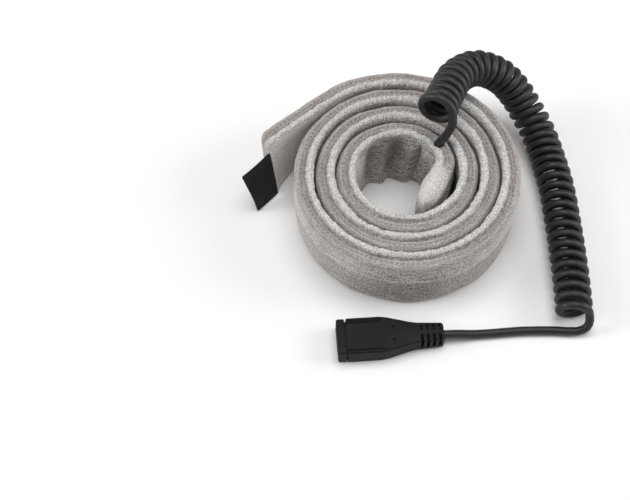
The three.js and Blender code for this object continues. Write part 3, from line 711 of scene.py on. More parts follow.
def moulded_material(name, colour, dust, scale=4.0, depth=0.02 * MM, specular=0.5):
    """Moulded plastic, a jacket or insulation."""
    material, tree, shader = new_material(name)
    grain = placed_group(tree, GRAIN, {
        "Vector": object_millimetres(tree), "Colour": rgba(colour), "Dust": rgba(dust),
        "Scale": scale, "Depth": depth})
    wire_all(tree, shader, {
        "Base Color": grain["Colour"], "Roughness": grain["Roughness"], "Normal": grain["Normal"],
        "Specular IOR Level": specular})
    return material


def woven_material(name, colour, gap_shade, vector_of, threads):
    """Woven tape. Its coordinates come from the function that is given."""
    material, tree, shader = new_material(name)
    weave = placed_group(tree, WEAVE, {
        "Vector": vector_of(tree), "Colour": rgba(colour), "Gap shade": rgba(gap_shade), "Threads": threads,
        "Depth": 0.08 * MM})
    wire_all(tree, shader, {
        "Base Color": weave["Colour"], "Normal": weave["Normal"], "Roughness": 0.8,
        "Specular IOR Level": 0.2, "Sheen Weight": 0.06})
    return material


def metal_material(name, colour):
    material, tree, shader = new_material(name)
    rolled = placed_group(tree, ROLLED, {"Vector": object_millimetres(tree)})
    wire_all(tree, shader, {
        "Base Color": rgba(colour), "Metallic": 1.0, "Roughness": rolled["Roughness"],
        "Normal": rolled["Normal"]})
    return material


# Pieces

def piece(name, mesh_or_curve, material, slot, *nodes):
    """Puts finished data in the scene as a piece of the object."""
    made = bpy.data.objects.new(name, mesh_or_curve)
    bpy.context.scene.collection.objects.link(made)
    made.data.materials.append(material)
    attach(made, BODY)
    if nodes:
        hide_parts(*nodes)
    return made


def mesh_from(name, bm, smooth_angle=None):
    mesh = bpy.data.meshes.new(name)
    bm.to_mesh(mesh)
    bm.free()
    mesh.shade_smooth()
    if smooth_angle is not None:
        mesh.set_sharp_from_angle(angle=smooth_angle)
    return mesh


def uv_grid(rows, columns):
    """A flat grid with a UV map, and the row and column of each of its points."""
    bm = bmesh.new()
    bmesh.ops.create_grid(bm, x_segments=columns, y_segments=rows, size=1)
    bm.verts.index_update()
    places = [divmod(index, columns + 1) for index in range(len(bm.verts))]
    uv_layer = bm.loops.layers.uv.new("UVMap")
    for face in bm.faces:
        for loop in face.loops:
            row, column = places[loop.vert.index]
            loop[uv_layer].uv = (row / rows, column / columns)
    return bm, places


def finish_nodes(nodes, material):
    """Gives CAD nodes that stay their own finish."""
    for node in nodes:
        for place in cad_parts[node].material_slots:
            place.material = material


def arc(centre, radius, start, end, steps):
    angle = np.radians(np.linspace(start, end, steps))
    return np.stack([centre[0] + radius * np.cos(angle), centre[1] + radius * np.sin(angle)], -1)


def section_halves():
    """The strip's section as outward and height pairs: from the middle of the foot up the outer side
    to the groove, and from the groove down the inner side to the foot."""
    outer = (HALF_THICKNESS - OUTER_LOBE_RADIUS, STRIP_WIDTH - OUTER_LOBE_DROP - OUTER_LOBE_RADIUS)
    inner = (INNER_LOBE_RADIUS - HALF_THICKNESS, STRIP_WIDTH - INNER_LOBE_RADIUS)
    groove = ((inner[0] + INNER_LOBE_RADIUS + outer[0] - OUTER_LOBE_RADIUS) / 2,
              STRIP_WIDTH - OUTER_LOBE_DROP - SEAM_DEPTH)
    corner = HALF_THICKNESS - FOOT_HALF
    rising = [[(0, 0)], arc((FOOT_HALF, corner), corner, -90, 0, 8) * [1, FOOT_SWELL],
              arc(outer, OUTER_LOBE_RADIUS, 0, 140, 16), [groove]]
    falling = [[groove], arc(inner, INNER_LOBE_RADIUS, 40, 180, 14),
               arc((-FOOT_HALF, corner), corner, 180, 270, 8), [(0, 0)]]
    return np.vstack(rising), np.vstack(falling)


def evenly(line, count):
    """So many points along a line, without its last one."""
    along = distances(line)
    at = np.linspace(0, along[-1], count, endpoint=False)
    return np.stack([np.interp(at, along, axis) for axis in line.T], -1)


SECTION_LENGTH = sum(distances(half)[-1] for half in section_halves())

# Cells of the random relief along and round the strip: lumps, dimples, waves, tufts, streaks, patches
RELIEF_CELLS = (
    (13 * MM, 9 * MM), (4.5 * MM, 4 * MM), (7 * MM, SECTION_LENGTH / 3), (0.95 * MM, 0.95 * MM),
    (0.75 * MM, 2.6 * MM), (26 * MM, 11 * MM))


def eased(value):
    """From 0 to 1 with a soft start and end."""
    value = np.clip(value, 0, 1)
    return value * value * (3 - 2 * value)


def smooth_field(rng, along, around, cell_along, cell_around):
    """Random values from -1 to 1 on a lattice, smoothly joined, that close round the section."""
    columns = max(3, round(SECTION_LENGTH / cell_around))
    u = along / cell_along
    v = around / SECTION_LENGTH * columns
    lattice = rng.uniform(-1, 1, (int(np.ceil(u.max())) + 2, columns))
    i, j = np.floor(u).astype(int), np.floor(v).astype(int)
    a, b = eased(u - i), eased(v - j)
    j, k = j % columns, (j + 1) % columns
    return ((lattice[i, j] * (1 - b) + lattice[i, k] * b) * (1 - a)
            + (lattice[i + 1, j] * (1 - b) + lattice[i + 1, k] * b) * a)


def hump(value, middle, width):
    return np.exp(-((value - middle) / width) ** 2)


# Folds across the inner wall of the first turn: the angle round the roll at half height, half of the
# width in degrees, the depth in millimetres, and how far the fold leans from foot to top, in degrees
INNER_FOLDS = (
    (133, 6.5, -1.6, -6), (114, 6.0, 1.5, -9), (97, 7.5, -1.7, -15), (74, 9.0, 1.9, -8),
    (62, 2.6, -1.3, -10), (45, 6.0, 1.0, 0), (25, 3.0, -1.5, 0), (160, 11.0, 1.3, 4),
    (188, 7.0, -0.7, 0), (207, 4.0, 0.8, 6), (224, 5.0, 1.8, 4), (243, 5.0, -0.9, 0),
    (259, 4.0, 1.2, 5), (276, 4.5, 1.4, -5), (300, 6.0, -0.8, 0), (325, 7.0, 0.8, 0),
)

# Where the pile is brushed smooth and painted lighter. These walls face the side softboxes, so the
# lighter tone is painted light. The middle in degrees along the spiral, half of the width, and the side
# of the strip, 1 for its outer wall and -1 for its inner wall
SMOOTH_AND_LIT_WALLS = ((900, 42, 1), (1070, 38, 1), (185, 38, -1), (545, 40, -1), (1230, 40, -1))


def strip_section(columns):
    """The section's points, evenly spaced round it, and the softer section of the inner tail, which
    has the same foot and sides under one round top."""
    section = np.vstack([evenly(half, columns // 2) for half in section_halves()])
    soft = section.copy()
    top = np.flatnonzero(section[:, 1] > TAIL_SHOULDER)
    turn = np.linspace(0, math.pi, len(top))
    rise = STRIP_WIDTH - TAIL_TOP_DROP - TAIL_SHOULDER
    soft[top] = np.stack([HALF_THICKNESS * np.cos(turn), TAIL_SHOULDER + rise * np.sin(turn)], -1)
    return section, soft


def outward_normals(section):
    step = np.roll(section, -1, 0) - np.roll(section, 1, 0)
    facing = np.stack([step[:, 1], -step[:, 0]], -1)
    return facing / np.linalg.norm(facing, axis=1, keepdims=True)


def section_places(section, tail, s):
    """Masks from 0 to 1 of what lies where on the strip. Most of them fade out on the inner tail."""
    across, up = section.T
    on_top = eased((up - TOP_FROM) / MM)
    wall_out = (across > WALL_FROM) & (up < OUTER_WALL_TOP)
    stitches = 0.55 + 0.45 * np.cos(2 * math.pi * s / STITCH_PITCH)
    band = eased((across - BAND_FROM) / BAND_BLEND) * eased((up - BAND_FOOT) / BAND_RISE)
    return SimpleNamespace(
        on_top=on_top,
        wall_in=(across < -WALL_FROM) & (up < INNER_WALL_TOP),
        wall_out=wall_out,
        lobe=hump(across, LOBE_AT, LOBE_HALF) * on_top * (1 - 0.7 * tail),
        band=band * (1 - tail),
        groove=hump(across, GROOVE_AT, GROOVE_HALF) * on_top * (1 - 0.75 * tail),
        stitched=hump(across, STITCHES_AT, STITCHES_HALF) * on_top * (1 - tail) * stitches,
        crease=hump(up, CREASE_AT, CREASE_HALF) * wall_out,
        below=eased((CREASE_FOOT - up) / CREASE_FOOT_BLEND) * wall_out,
        tail_top=tail * on_top,
        tail_inside=tail * on_top * eased((0.5 * MM - across) / MM))


def inner_folds(degrees, height, wall_in):
    """The folds of the inner wall in millimetres, shallower at its foot and gone at its top."""
    folds = np.zeros_like(degrees)
    for angle, width, depth, lean in INNER_FOLDS:
        slanted = degrees - angle - lean * (height / STRIP_WIDTH - 0.5)
        folds += depth * hump(slanted, 0, width) * wall_in
    folds *= np.clip(height / FOLD_FULL_FROM, FOLD_FOOT_SHARE, 1)
    return folds * eased((FOLD_TOP - height) / FOLD_FADE)


def random_relief(rng, s, around, pile, lobe):
    """Lumps, waves and pile that stand out from the section, and the patches of smooth nap."""
    lumps, dimples, waves, tufts, streaks, patches = (
        smooth_field(rng, s, around, *cell) for cell in RELIEF_CELLS)
    grit = rng.uniform(-1, 1, s.shape)
    relief = 0.22 * MM * lumps + 0.14 * MM * dimples + 0.14 * MM * waves
    relief += (0.07 * MM + 0.45 * pile * lobe) * tufts
    relief += (0.08 + 0.6 * lobe) * pile * streaks
    relief += (0.05 * MM + 0.25 * pile * lobe) * grit
    return relief, patches


def unwrapped_angle(line):
    """The angle that the route has turned round the roll's centre since the fold's end."""
    angle = np.unwrap(np.arctan2(line[:, 1], line[:, 0]))
    at_fold = np.interp(ENTRY_AT - ENTRY_PAST_FOLD, STRIP.along, angle)
    return angle - at_fold


def on_route(s, outward, height):
    """The points' places along the strip's route. Near its outer end the strip leans inwards at its
    foot, and it runs out further there."""
    last = np.clip((s - (STRIP.length - TAIL_BEND)) / TAIL_BEND, 0, 1)
    below_top = STRIP_WIDTH - height
    outward = outward - last ** 4 * TAIL_LEAN * below_top / STRIP_WIDTH
    reach = s - last ** 2 * below_top * math.tan(TAIL_SLANT)
    plan, heading = STRIP.points(reach), STRIP.directions(reach)
    return np.stack([plan[..., 0] + heading[..., 1] * outward,
                     plan[..., 1] - heading[..., 0] * outward, height], -1)


def close_ends(s, t, outward, height):
    """Rounds both ends off to a flat sewn edge. In the last row each point meets the one across."""
    sewn = END_SEAM_FOOT + (END_SEAM_TOP - END_SEAM_FOOT) * (1 - np.abs(2 * t - 1))
    nearest = np.clip(np.minimum(s, STRIP.length - s) / END_ROUND, 0, 1)
    full = np.sqrt(np.clip(1 - (1 - nearest) ** 2, 0, 1))
    return outward * full, sewn + (height - sewn) * full


def make_entry(spot):
    """Raises a soft mound round the cord where it leaves the fleece, pushes the fleece aside round the
    cord, and closes it below the collar's top."""
    room = CORD_DIAMETER / 2 + CORD_CLEARANCE
    away = spot[..., :2] - ENTRY
    distance = np.maximum(np.linalg.norm(away, axis=-1), 1e-6)
    around_cord = spot[..., 2] > ENTRY_FROM
    mound = hump(distance, 0, MOUND_RADIUS) * (spot[..., 2] > TAIL_SHOULDER)
    spot[..., 2] += np.maximum(STRIP_WIDTH + MOUND_RISE - spot[..., 2], 0) * mound
    sunk_within, moved_within = 0.75 * room, 2.2 * room
    stretch = (moved_within - room) / (moved_within - sunk_within)
    target = np.where(distance > sunk_within, room + (distance - sunk_within) * stretch,
                      room * distance / sunk_within)
    moved = (around_cord & (distance < moved_within))[..., None]
    spot[..., :2] = np.where(moved, ENTRY + away * (target / distance)[..., None], spot[..., :2])
    spot[..., 2] = np.where(around_cord & (distance < sunk_within), ENTRY_FLOOR, spot[..., 2])


def fleece_surface(settings):
    """Positions of the fleece's mesh points, row by row, and its masks: the ridges with their painted
    highlight, the seams with the painted shade, and the smoother pile with its partly painted lighter
    tone.
    """
    rng = np.random.default_rng(settings.seed)
    rows = round(STRIP.length / settings.step)
    columns = 2 * round(SECTION_LENGTH / settings.step / 2)
    s, t = np.meshgrid(np.linspace(0, STRIP.length, rows + 1), np.arange(columns) / columns,
                       indexing="ij")
    section, soft = strip_section(columns)
    tail = eased((INNER_TAIL + 3 * MM - s) / (8 * MM))
    outward, height, face_out, face_up = (
        flat + (round_top - flat) * tail for flat, round_top in
        zip([*section.T, *outward_normals(section).T], [*soft.T, *outward_normals(soft).T]))
    degrees = FOLD_ANGLE + np.degrees(np.interp(s, STRIP.along, unwrapped_angle(STRIP.line)))
    at = section_places(section, tail, s)
    folds = inner_folds(degrees, height, at.wall_in)
    flare = hump(degrees, FLARE_ANGLE, FLARE_HALF) * at.wall_in * eased((FLARE_TOP - height) / FLARE_TOP)
    push, patches = random_relief(rng, s, t * SECTION_LENGTH, settings.pile, at.lobe)
    push -= STITCH_DEPTH * at.stitched + GROOVE_PULL * at.groove + CREASE_STEP * at.below
    push += CREASE_RISE * at.crease + FLARE_OUT * flare + folds * MM
    outward = (outward + push * face_out) * (1 + TAIL_SWELL * hump(s, TAIL_SWELL_AT, TAIL_SWELL_HALF))
    height = np.maximum(height + push * face_up, 0)
    outward, height = close_ends(s, t, outward, height)
    spot = on_route(s, outward, height)
    make_entry(spot)
    spot += np.array(ROLL_CENTRE)
    # Painted highlight: brighter on the inner lobe, along the crease and on the inner tail's inside. The
    # lobe also combs the pile
    ridge_and_highlight = at.lobe + 0.8 * at.crease + 0.5 * at.tail_inside
    # Painted shade: darker in the groove, the stitches, the outer band and below the crease, in the
    # hollows of the folds and on the inner wall at the roll's back, besides the seams' own dark lines
    seam_and_shade = 0.45 * at.groove + 0.9 * at.stitched + 0.5 * at.band + 0.3 * at.below
    seam_and_shade += 0.5 * np.clip(-folds / 1.5, 0, 1) + 0.2 * hump(degrees, 100, 32) * at.wall_in
    # Smoother pile with a lighter tone: random patches, the band, the tail's top, and the walls listed
    # above, where the lighter tone is painted light
    nap_and_painted_light = 0.45 * eased(0.5 + 1.4 * patches) * (1 - at.on_top) + 0.5 * at.band + 0.5 * at.tail_top
    for angle, width, side in SMOOTH_AND_LIT_WALLS:
        nap_and_painted_light = np.maximum(nap_and_painted_light, hump(degrees, angle, width) * (at.wall_out if side > 0 else at.wall_in))
    return spot, ridge_and_highlight, np.clip(seam_and_shade, 0, 1), nap_and_painted_light


def make_fleece(settings):
    spot, *masks = fleece_surface(settings)
    rows, columns = spot.shape[0] - 1, spot.shape[1]
    bm, places = uv_grid(rows, columns)
    layers = [bm.verts.layers.float.new(name) for name in MASKS]
    for vertex, (row, column) in zip(bm.verts, places):
        around = column % columns
        vertex.co = spot[row, around]
        for layer, mask in zip(layers, masks):
            vertex[layer] = mask[row, around]
    joined = [vertex for vertex, (row, column) in zip(bm.verts, places)
              if row in (0, rows) or column in (0, columns)]
    bmesh.ops.remove_doubles(bm, verts=joined, dist=1e-6)
    bmesh.ops.recalc_face_normals(bm, faces=bm.faces)
    fleece = piece("padded_fleece", mesh_from("padded_fleece", bm), fleece_material(settings),
                   "fleece", "fleece_sleeve")


def make_cord(settings):
    """The whole cord as one curve: riser, curly part and lead."""
    line = catmull_rom([*riser_points(), *coil_points(settings.diameter, settings.coil), *lead_points()],
                       pieces=2)
    line += np.array(ROLL_CENTRE)
    curve = bpy.data.curves.new("curly_cord", "CURVE")
    curve.dimensions = "3D"
    spline = curve.splines.new("POLY")
    spline.points.add(len(line) - 1)
    spline.points.foreach_set("co", np.hstack([line, np.ones((len(line), 1))]).ravel())
    curve.bevel_depth = settings.diameter / 2
    curve.bevel_resolution = 5
    curve.use_fill_caps = True
    jacket = moulded_material("Cord jacket", settings.jacket, (0.02, 0.021, 0.021), scale=3.0,
                              depth=0.012 * MM, specular=0.55)
    piece("curly_cord", curve, jacket, "cord_jacket", "cord_riser", "cord_coil", "cord_lead")


def make_collar():
    """A sleeve shrunk round the cord where it leaves the fleece, with soft rolled ends."""
    outer = (COLLAR_HIGH.x - COLLAR_LOW.x) / 2
    bore = CORD_DIAMETER / 2 + CORD_CLEARANCE
    top = COLLAR_HIGH.z - COLLAR_LOW.z
    outline = [(bore, 0.25 * MM), (bore, top - 0.2 * MM), (bore + 0.12 * MM, top),
               (outer - 0.3 * MM, top + 0.02 * MM), (outer - 0.06 * MM, top - 0.3 * MM),
               (outer - 0.16 * MM, top - 1.4 * MM), (outer, top - 2.4 * MM),
               (outer, 0.3 * MM), (outer - 0.25 * MM, 0)]
    bm = bmesh.new()
    rim = [bm.verts.new((x, 0, z)) for x, z in outline]
    edges = [bm.edges.new((a, b)) for a, b in zip(rim, rim[1:] + rim[:1])]
    bmesh.ops.spin(bm, geom=rim + edges, cent=(0, 0, 0), axis=(0, 0, 1), angle=2 * math.pi, steps=48,
                   use_merge=True)
    bmesh.ops.recalc_face_normals(bm, faces=bm.faces)
    foot = (COLLAR_LOW + COLLAR_HIGH) / 2
    foot.z = COLLAR_LOW.z
    bmesh.ops.translate(bm, verts=bm.verts, vec=foot)
    sleeve = moulded_material("Shrink sleeve", *SLEEVE_COLOURS, 2.0)
    piece("exit_sleeve", mesh_from("exit_sleeve", bm, math.radians(50)), sleeve, "shrink_sleeve",
          "entry_collar")


def tape_point(at, straight):
    """Along and across the label at a distance along its tape: out, round the bend and back."""
    angle = (at - straight) / LABEL_BEND - math.pi / 2
    if angle < -math.pi / 2:
        return at - LABEL_ROOT, -LABEL_BEND
    if angle > math.pi / 2:
        back = at - straight - math.pi * LABEL_BEND
        return straight - back - LABEL_ROOT, LABEL_BEND
    return straight - LABEL_ROOT + LABEL_BEND * math.cos(angle), LABEL_BEND * math.sin(angle)


def label_place():
    """Turns the label, made upright along X, to the leaning end of the outer tail."""
    ahead = STRIP.directions(STRIP.length)
    outwards = np.array([ahead[1], -ahead[0]])
    middle = LABEL_FLOOR + LABEL_WIDTH / 2
    below_top = STRIP_WIDTH - middle
    lean = math.atan(TAIL_LEAN / STRIP_WIDTH)
    inset = LABEL_INSET + below_top * math.tan(lean)
    setback = below_top * math.tan(LABEL_SLANT) - LABEL_REACH
    plan = STRIP.points(STRIP.length) - inset * outwards - setback * ahead
    heading = math.atan2(ahead[1], ahead[0]) + LABEL_SWING
    return (Matrix.Translation(ROLL_CENTRE + Vector((*plan, middle)))
            @ Matrix.Rotation(heading, 4, "Z") @ Matrix.Rotation(lean, 4, "X")
            @ Matrix.Rotation(LABEL_SLANT, 4, "Y"))


def make_label():
    """A woven tape folded over into a tab and sewn into the strip's outer end. The root's lower part
    is cut back to the tail's slanting end."""
    rows, columns = 72, 44
    straight = LABEL_LENGTH + LABEL_ROOT - LABEL_BEND
    tape = 2 * straight + math.pi * LABEL_BEND
    cut_back = math.tan(LABEL_SLANT - TAIL_SLANT)
    bm, places = uv_grid(rows, columns)
    for vertex, (row, column) in zip(bm.verts, places):
        along, across = tape_point(row / rows * tape, straight)
        rise = (column / columns - 0.5) * LABEL_WIDTH
        from_bend = max(0, (straight - LABEL_ROOT - along) / straight)
        along += from_bend * (LABEL_WIDTH / 2 - rise) * cut_back
        free = max(along, 0) / LABEL_LENGTH
        wave = LABEL_WAVE * free * math.cos(rise / LABEL_WIDTH * 5 + 0.6)
        vertex.co = (along, across + wave - LABEL_CURL * free ** 2, rise)
    bmesh.ops.transform(bm, matrix=label_place(), verts=bm.verts)
    woven = woven_material(
        "Label tape", (0.011, 0.011, 0.012), (0.004, 0.004, 0.0045),
        lambda tree: uv_millimetres(tree, tape, LABEL_WIDTH), 0.9)
    label = piece("folded_label", mesh_from("folded_label", bm), woven, "label_tape", "end_label")
    wall = label.modifiers.new("Tape thickness", "SOLIDIFY")
    wall.thickness = LABEL_PLY
    wall.offset = 0


def in_socket(bm):
    """Moves what was made along +X from the mouth to the socket's place."""
    place = Matrix.Translation(ROLL_CENTRE + SOCKET_MOUTH) @ Matrix.Rotation(SOCKET_ANGLE, 4, "Z")
    bmesh.ops.transform(bm, matrix=place, verts=bm.verts)


def station(along, narrower, thinner):
    """A place along the housing, with the width and thickness that it has there."""
    return along, BODY_WIDTH - narrower, BODY_THICKNESS - thinner


def socket_stations():
    """The housing's stations from its mouth to its tail."""
    rim = 2 * COLLAR_STEP
    neck = rim + 2 * GROOVE_DEPTH
    yield station(0, rim + 1.1 * MM, rim + 0.9 * MM)
    yield station(0.16 * MM, rim + 0.45 * MM, rim + 0.35 * MM)
    yield station(0.55 * MM, rim, rim)
    yield station(COLLAR_RIM - 0.25 * MM, rim, rim)
    yield station(COLLAR_RIM, rim + 0.4 * MM, rim + 0.4 * MM)
    yield station(COLLAR_RIM + 0.05 * MM, neck, neck)
    yield station(BODY_START - 0.05 * MM, neck, neck)
    yield station(BODY_START, 0.5 * MM, 0.5 * MM)
    yield station(BODY_START + 0.3 * MM, 0, 0)
    yield station(TAPER_START - 0.4 * MM, 0, 0)
    for step in range(1, 9):
        share = step / 8
        narrowed = 0.35 * eased(share) + 0.65 * share
        yield station(TAPER_START + share * TAPER_LENGTH, TAPER_NARROWS * narrowed,
                      TAPER_THINS * narrowed)
    yield SOCKET_LENGTH - 0.8 * MM, 6.6 * MM, 5.6 * MM
    yield SOCKET_LENGTH - 0.25 * MM, 6.0 * MM, 5.0 * MM
    yield SOCKET_LENGTH, 4.8 * MM, 4.0 * MM


def drawn_on(bm, face):
    """Extrudes one face and gives the new one. The old one stays only where it closes the start."""
    is_start = all(edge.is_boundary for edge in face.edges)
    made = bmesh.ops.extrude_face_region(bm, geom=[face])
    if not is_start:
        bmesh.ops.delete(bm, geom=[face], context="FACES_ONLY")
    return next(g for g in made["geom"] if isinstance(g, bmesh.types.BMFace))


def housing_loft(edge):
    """The housing's skin: a rounded rectangle drawn out along the socket from station to station."""
    bm = bmesh.new()
    made = bmesh.ops.create_grid(bm, x_segments=1, y_segments=1, size=0.5)
    bmesh.ops.rotate(bm, verts=made["verts"], matrix=Matrix.Rotation(math.pi / 2, 3, "Y"))
    bmesh.ops.scale(bm, verts=bm.verts, vec=(1, BODY_WIDTH, BODY_THICKNESS))
    bmesh.ops.bevel(bm, geom=list(bm.verts), affect="VERTICES", offset=edge, segments=5, profile=0.5,
                    material=-1)
    face = bm.faces[:][0]
    last = (0, BODY_WIDTH, BODY_THICKNESS)
    for along, width, thickness in socket_stations():
        if along > 0:
            face = drawn_on(bm, face)
        bmesh.ops.translate(bm, verts=face.verts, vec=(along - last[0], 0, 0))
        bmesh.ops.scale(bm, verts=face.verts, vec=(1, width / last[1], thickness / last[2]))
        last = (along, width, thickness)
    bmesh.ops.recalc_face_normals(bm, faces=bm.faces)
    return bm


def across_slot(bm, along, outline):
    """A cutter for one slot window: its outline in the Y and Z plane, drawn out along the socket."""
    face = bm.faces.new([bm.verts.new((along - SLOT_WIDTH / 2, y, z)) for y, z in outline])
    drawn = bmesh.ops.extrude_face_region(bm, geom=[face])
    moved = [g for g in drawn["geom"] if isinstance(g, bmesh.types.BMVert)]
    bmesh.ops.translate(bm, verts=moved, vec=(SLOT_WIDTH, 0, 0))
    return [*face.verts, *moved]


def cut_slots(bm):
    """Windows of the strain relief. Beside the spine one row stops short of an edge, and the other
    runs over the other edge and down the side to a rail. Below it is the same, turned half round."""
    lean = math.degrees(math.asin(SPINE_HALF / RELIEF_CORE))
    rail_angle = math.degrees(math.asin(RAIL_HALF / RELIEF_CORE))
    floor_angle = math.degrees(math.asin(WINDOW_FLOOR / RELIEF_CORE))
    window_end = RELIEF_WIDTH / 2 - WINDOW_MARGIN
    over_edge = [*arc((0, 0), RELIEF_CORE, 90 + lean, 180 + rail_angle, 9),
                 (-CLEAR_OF_RELIEF, -RAIL_HALF), (-CLEAR_OF_RELIEF, CLEAR_OF_RELIEF),
                 (-SPINE_HALF, CLEAR_OF_RELIEF)]
    on_face = [(SPINE_HALF, CLEAR_OF_RELIEF), (window_end, CLEAR_OF_RELIEF),
               (window_end, WINDOW_FLOOR), *arc((0, 0), RELIEF_CORE, floor_angle, 90 - lean, 6)]
    for index in range(4):
        along = RELIEF_START + (RELIEF_LENGTH - 3 * SLOT_PITCH) / 2 + index * SLOT_PITCH
        for half_turn in (0, math.pi):
            for outline in (over_edge, on_face):
                made = across_slot(bm, along, outline)
                bmesh.ops.rotate(bm, verts=made, matrix=Matrix.Rotation(half_turn, 3, "X"))


def cut_panel(bm, side):
    """The shallow panel behind the collar, with sloping borders, and the two dimples past it."""
    start = COLLAR_RIM + GROOVE_WIDTH / 2
    middle = (start + PANEL_FLOOR_END) / 2
    made = bmesh.ops.create_grid(bm, x_segments=1, y_segments=1, size=0.5)
    verts = made["verts"]
    bmesh.ops.scale(bm, verts=verts, vec=(PANEL_FLOOR_END - start, PANEL_FLOOR_WIDTH, 1))
    bmesh.ops.translate(bm, verts=verts, vec=(middle, 0, BODY_THICKNESS / 2 - PANEL_DEPTH))
    face = verts[0].link_faces[0]
    for rise in (PANEL_DEPTH, MM):
        face = drawn_on(bm, face)
        verts += face.verts
        bmesh.ops.translate(bm, verts=face.verts, vec=(0, 0, rise))
        for vertex in face.verts:
            vertex.co.y = math.copysign(PANEL_WIDTH / 2, vertex.co.y)
            vertex.co.x = PANEL_END if vertex.co.x > middle else start
    for across in (-DIMPLE_ACROSS, DIMPLE_ACROSS):
        place = Matrix.Translation((DIMPLE_ALONG, across, BODY_THICKNESS / 2 - DIMPLE_SUNK))
        verts += bmesh.ops.create_uvsphere(bm, u_segments=16, v_segments=10, radius=DIMPLE_RADIUS,
                                           matrix=place)["verts"]
    if side < 0:
        bmesh.ops.rotate(bm, verts=verts, matrix=Matrix.Rotation(math.pi, 3, "X"))


def cut_insides(bm):
    """The mouth with the room for the metal shell, the room for the inner mould, and the cord's bore."""
    for start, end, width, height in (SHELL_ROOM, MOULD_ROOM):
        made = bmesh.ops.create_cube(bm, size=1)
        bmesh.ops.scale(bm, verts=made["verts"], vec=(end - start, width, height))
        bmesh.ops.translate(bm, verts=made["verts"], vec=((start + end) / 2, 0, 0))
    radius = CORD_DIAMETER / 2 + 0.02 * MM
    middle = (CORD_BORE_START + CORD_BORE_END) / 2
    place = Matrix.Translation((middle, 0, 0)) @ Matrix.Rotation(math.pi / 2, 4, "Y")
    bmesh.ops.create_cone(bm, cap_ends=True, segments=32, radius1=radius, radius2=radius,
                          depth=CORD_BORE_END - CORD_BORE_START, matrix=place)


def socket_cutters():
    bm = bmesh.new()
    cut_slots(bm)
    for side in (1, -1):
        cut_panel(bm, side)
    cut_insides(bm)
    bmesh.ops.recalc_face_normals(bm, faces=bm.faces)
    return bm


def make_socket(settings):
    """The socket's moulding: its skin, with the slots, panels, mouth and bore cut out of it."""
    bm = housing_loft(settings.edge)
    in_socket(bm)
    moulding = moulded_material("Socket moulding", settings.moulding, (0.016, 0.016, 0.0165),
                                scale=5.0, depth=0.03 * MM, specular=0.15)
    housing = piece("moulded_socket", mesh_from("moulded_socket", bm), moulding, "socket_plastic",
                    "socket_housing")
    cutter_bm = socket_cutters()
    in_socket(cutter_bm)
    cutter = bpy.data.objects.new("slot_cutter", mesh_from("slot_cutter", cutter_bm))
    bpy.context.scene.collection.objects.link(cutter)
    cut = housing.modifiers.new("Slots", "BOOLEAN")
    cut.operation = "DIFFERENCE"
    cut.solver = "EXACT"
    cut.use_self = True
    cut.object = cutter
    bpy.context.view_layer.update()
    shaped = housing.evaluated_get(bpy.context.evaluated_depsgraph_get())
    housing.data = bpy.data.meshes.new_from_object(shaped)
    housing.modifiers.clear()
    housing.data.shade_smooth()
    housing.data.set_sharp_from_angle(angle=math.radians(20))
    bpy.data.objects.remove(cutter)


def finish_inner_nodes():
    """Finishes of the CAD nodes inside the strip and the socket."""
    finish_nodes(["backing_pad"], batting_material())
    finish_nodes(["wire_carrier"], woven_material(
        "Carrier tape", (0.84, 0.80, 0.68), (0.5, 0.46, 0.36), object_millimetres, 1.2))
    for name, colour, dust, scale, *nodes in INNER_PLASTICS:
        finish_nodes(nodes, moulded_material(name, colour, dust, scale))
    for name, colour, *nodes in INNER_METALS:
        finish_nodes(nodes, metal_material(name, colour))


# Stage

def make_camera(settings):
    camera = bpy.data.objects.new("Camera", bpy.data.cameras.new("Camera"))
    bpy.context.scene.collection.objects.link(camera)
    camera.data.lens = settings.lens
    camera.data.sensor_width = 36
    camera.location = ROLL_CENTRE + CAMERA_PLACE
    camera.rotation_euler = (math.pi / 2 - settings.downward, 0, 0)
    bpy.context.scene.camera = camera


def softbox(name, place, size, power):
    """A round light that faces the object."""
    data = bpy.data.lights.new(name, "AREA")
    data.shape = "DISK"
    data.size = size
    data.energy = power
    light = bpy.data.objects.new(name, data)
    bpy.context.scene.collection.objects.link(light)
    light.location = place
    light.rotation_euler = (LIGHT_AIM - light.location).to_track_quat("-Z", "Y").to_euler()


def make_lights(settings):
    bpy.context.scene.view_settings.view_transform = "Standard"
    world = bpy.data.worlds.new("Studio")
    world.use_nodes = True
    background = world.node_tree.nodes["Background"]
    background.inputs["Color"].default_value = (1, 0.985, 0.98, 1)
    background.inputs["Strength"].default_value = settings.sky
    bpy.context.scene.world = world
    for box in SOFTBOXES:
        softbox(*box)


def make_floor(settings):
    bm = bmesh.new()
    bmesh.ops.create_grid(bm, x_segments=1, y_segments=1, size=3)
    material, tree, shader = new_material("Floor")
    shade = spread(tree, noise(tree, object_millimetres(tree), 0.02, 2), 0.3, 0.7, 0.995, 1.0)
    tone = mixed(tree, 1.0, rgba(settings.floor), shade, "MULTIPLY")
    wire_all(tree, shader, {"Base Color": tone, "Roughness": 0.9})
    floor = bpy.data.objects.new("floor", mesh_from("floor", bm))
    floor.data.materials.append(material)
    bpy.context.scene.collection.objects.link(floor)


# Operators and panel

class HEATER_OT_stage(bpy.types.Operator):
    """Make the camera, the floor and the light"""
    bl_idname = "heater.make_stage"
    bl_label = "Stage"

    def execute(self, context):
        settings = context.scene.heater_stage
        make_camera(settings)
        make_lights(settings)
        make_floor(settings)
        return {"FINISHED"}


class HEATER_OT_cord(bpy.types.Operator):
    """Make the curly cord from the fleece to the socket"""
    bl_idname = "heater.make_cord"
    bl_label = "Curly cord"

    def execute(self, context):
        make_cord(context.scene.heater_cord)
        return {"FINISHED"}


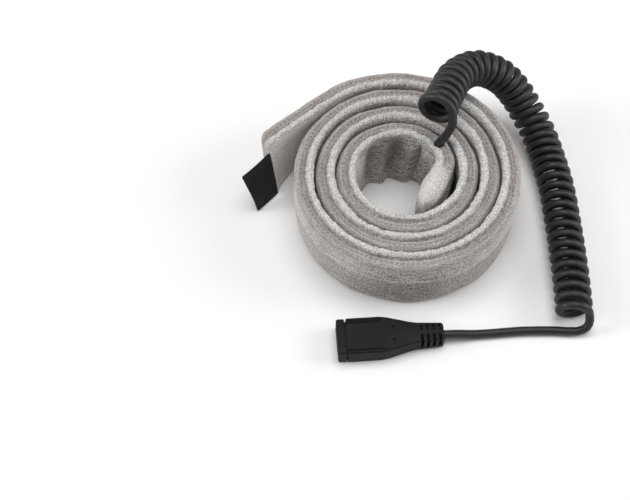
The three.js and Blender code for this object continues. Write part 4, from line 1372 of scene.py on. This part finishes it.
class HEATER_OT_socket(bpy.types.Operator):
    """Make the inline socket's moulded housing on the cord's end"""
    bl_idname = "heater.make_socket"
    bl_label = "Inline socket"

    def execute(self, context):
        make_socket(context.scene.heater_socket)
        return {"FINISHED"}


class HEATER_OT_fleece(bpy.types.Operator):
    """Make the rolled fleece strip"""
    bl_idname = "heater.make_fleece"
    bl_label = "Fleece strip"

    def execute(self, context):
        make_fleece(context.scene.heater_fleece)
        return {"FINISHED"}


class HEATER_OT_trim(bpy.types.Operator):
    """Make the folded label and the sleeve round the cord"""
    bl_idname = "heater.make_trim"
    bl_label = "Label and cord sleeve"

    def execute(self, context):
        make_label()
        make_collar()
        return {"FINISHED"}


class HEATER_OT_inner_finishes(bpy.types.Operator):
    """Finish the heating element, the wires and the socket's insides"""
    bl_idname = "heater.finish_inner_nodes"
    bl_label = "Inner finishes"

    def execute(self, context):
        finish_inner_nodes()
        return {"FINISHED"}


class HEATER_PT_panel(bpy.types.Panel):
    """Lists the heater's settings and operators"""
    bl_idname = "HEATER_PT_panel"
    bl_label = "Dew heater strip"
    bl_space_type = "VIEW_3D"
    bl_region_type = "UI"
    bl_category = "Heater"

    def draw(self, context):
        for name, operators in PANEL_ROWS:
            box = self.layout.box()
            settings = getattr(context.scene, name)
            for prop in settings.__annotations__:
                box.prop(settings, prop)
            for operator in operators:
                box.operator(operator)


SETTINGS = {
    "heater_stage": StageSettings,
    "heater_cord": CordSettings,
    "heater_socket": SocketSettings,
    "heater_fleece": FleeceSettings,
}
PANEL_ROWS = (
    ("heater_stage", ("heater.make_stage",)),
    ("heater_cord", ("heater.make_cord",)),
    ("heater_socket", ("heater.make_socket", "heater.finish_inner_nodes")),
    ("heater_fleece", ("heater.make_fleece", "heater.make_trim")),
)
CLASSES = (*SETTINGS.values(), HEATER_OT_stage, HEATER_OT_cord, HEATER_OT_socket, HEATER_OT_fleece,
           HEATER_OT_trim, HEATER_OT_inner_finishes, HEATER_PT_panel)


def register():
    for cls in CLASSES:
        bpy.utils.register_class(cls)
    for name, group in SETTINGS.items():
        setattr(bpy.types.Scene, name, PointerProperty(type=group))


def unregister():
    for name in SETTINGS:
        delattr(bpy.types.Scene, name)
    for cls in reversed(CLASSES):
        bpy.utils.unregister_class(cls)


def main():
    register()
    bpy.ops.heater.make_stage()
    bpy.ops.heater.make_cord()
    bpy.ops.heater.make_socket()
    bpy.ops.heater.make_fleece()
    bpy.ops.heater.make_trim()
    bpy.ops.heater.finish_inner_nodes()


if __name__ == "__main__":
    main()
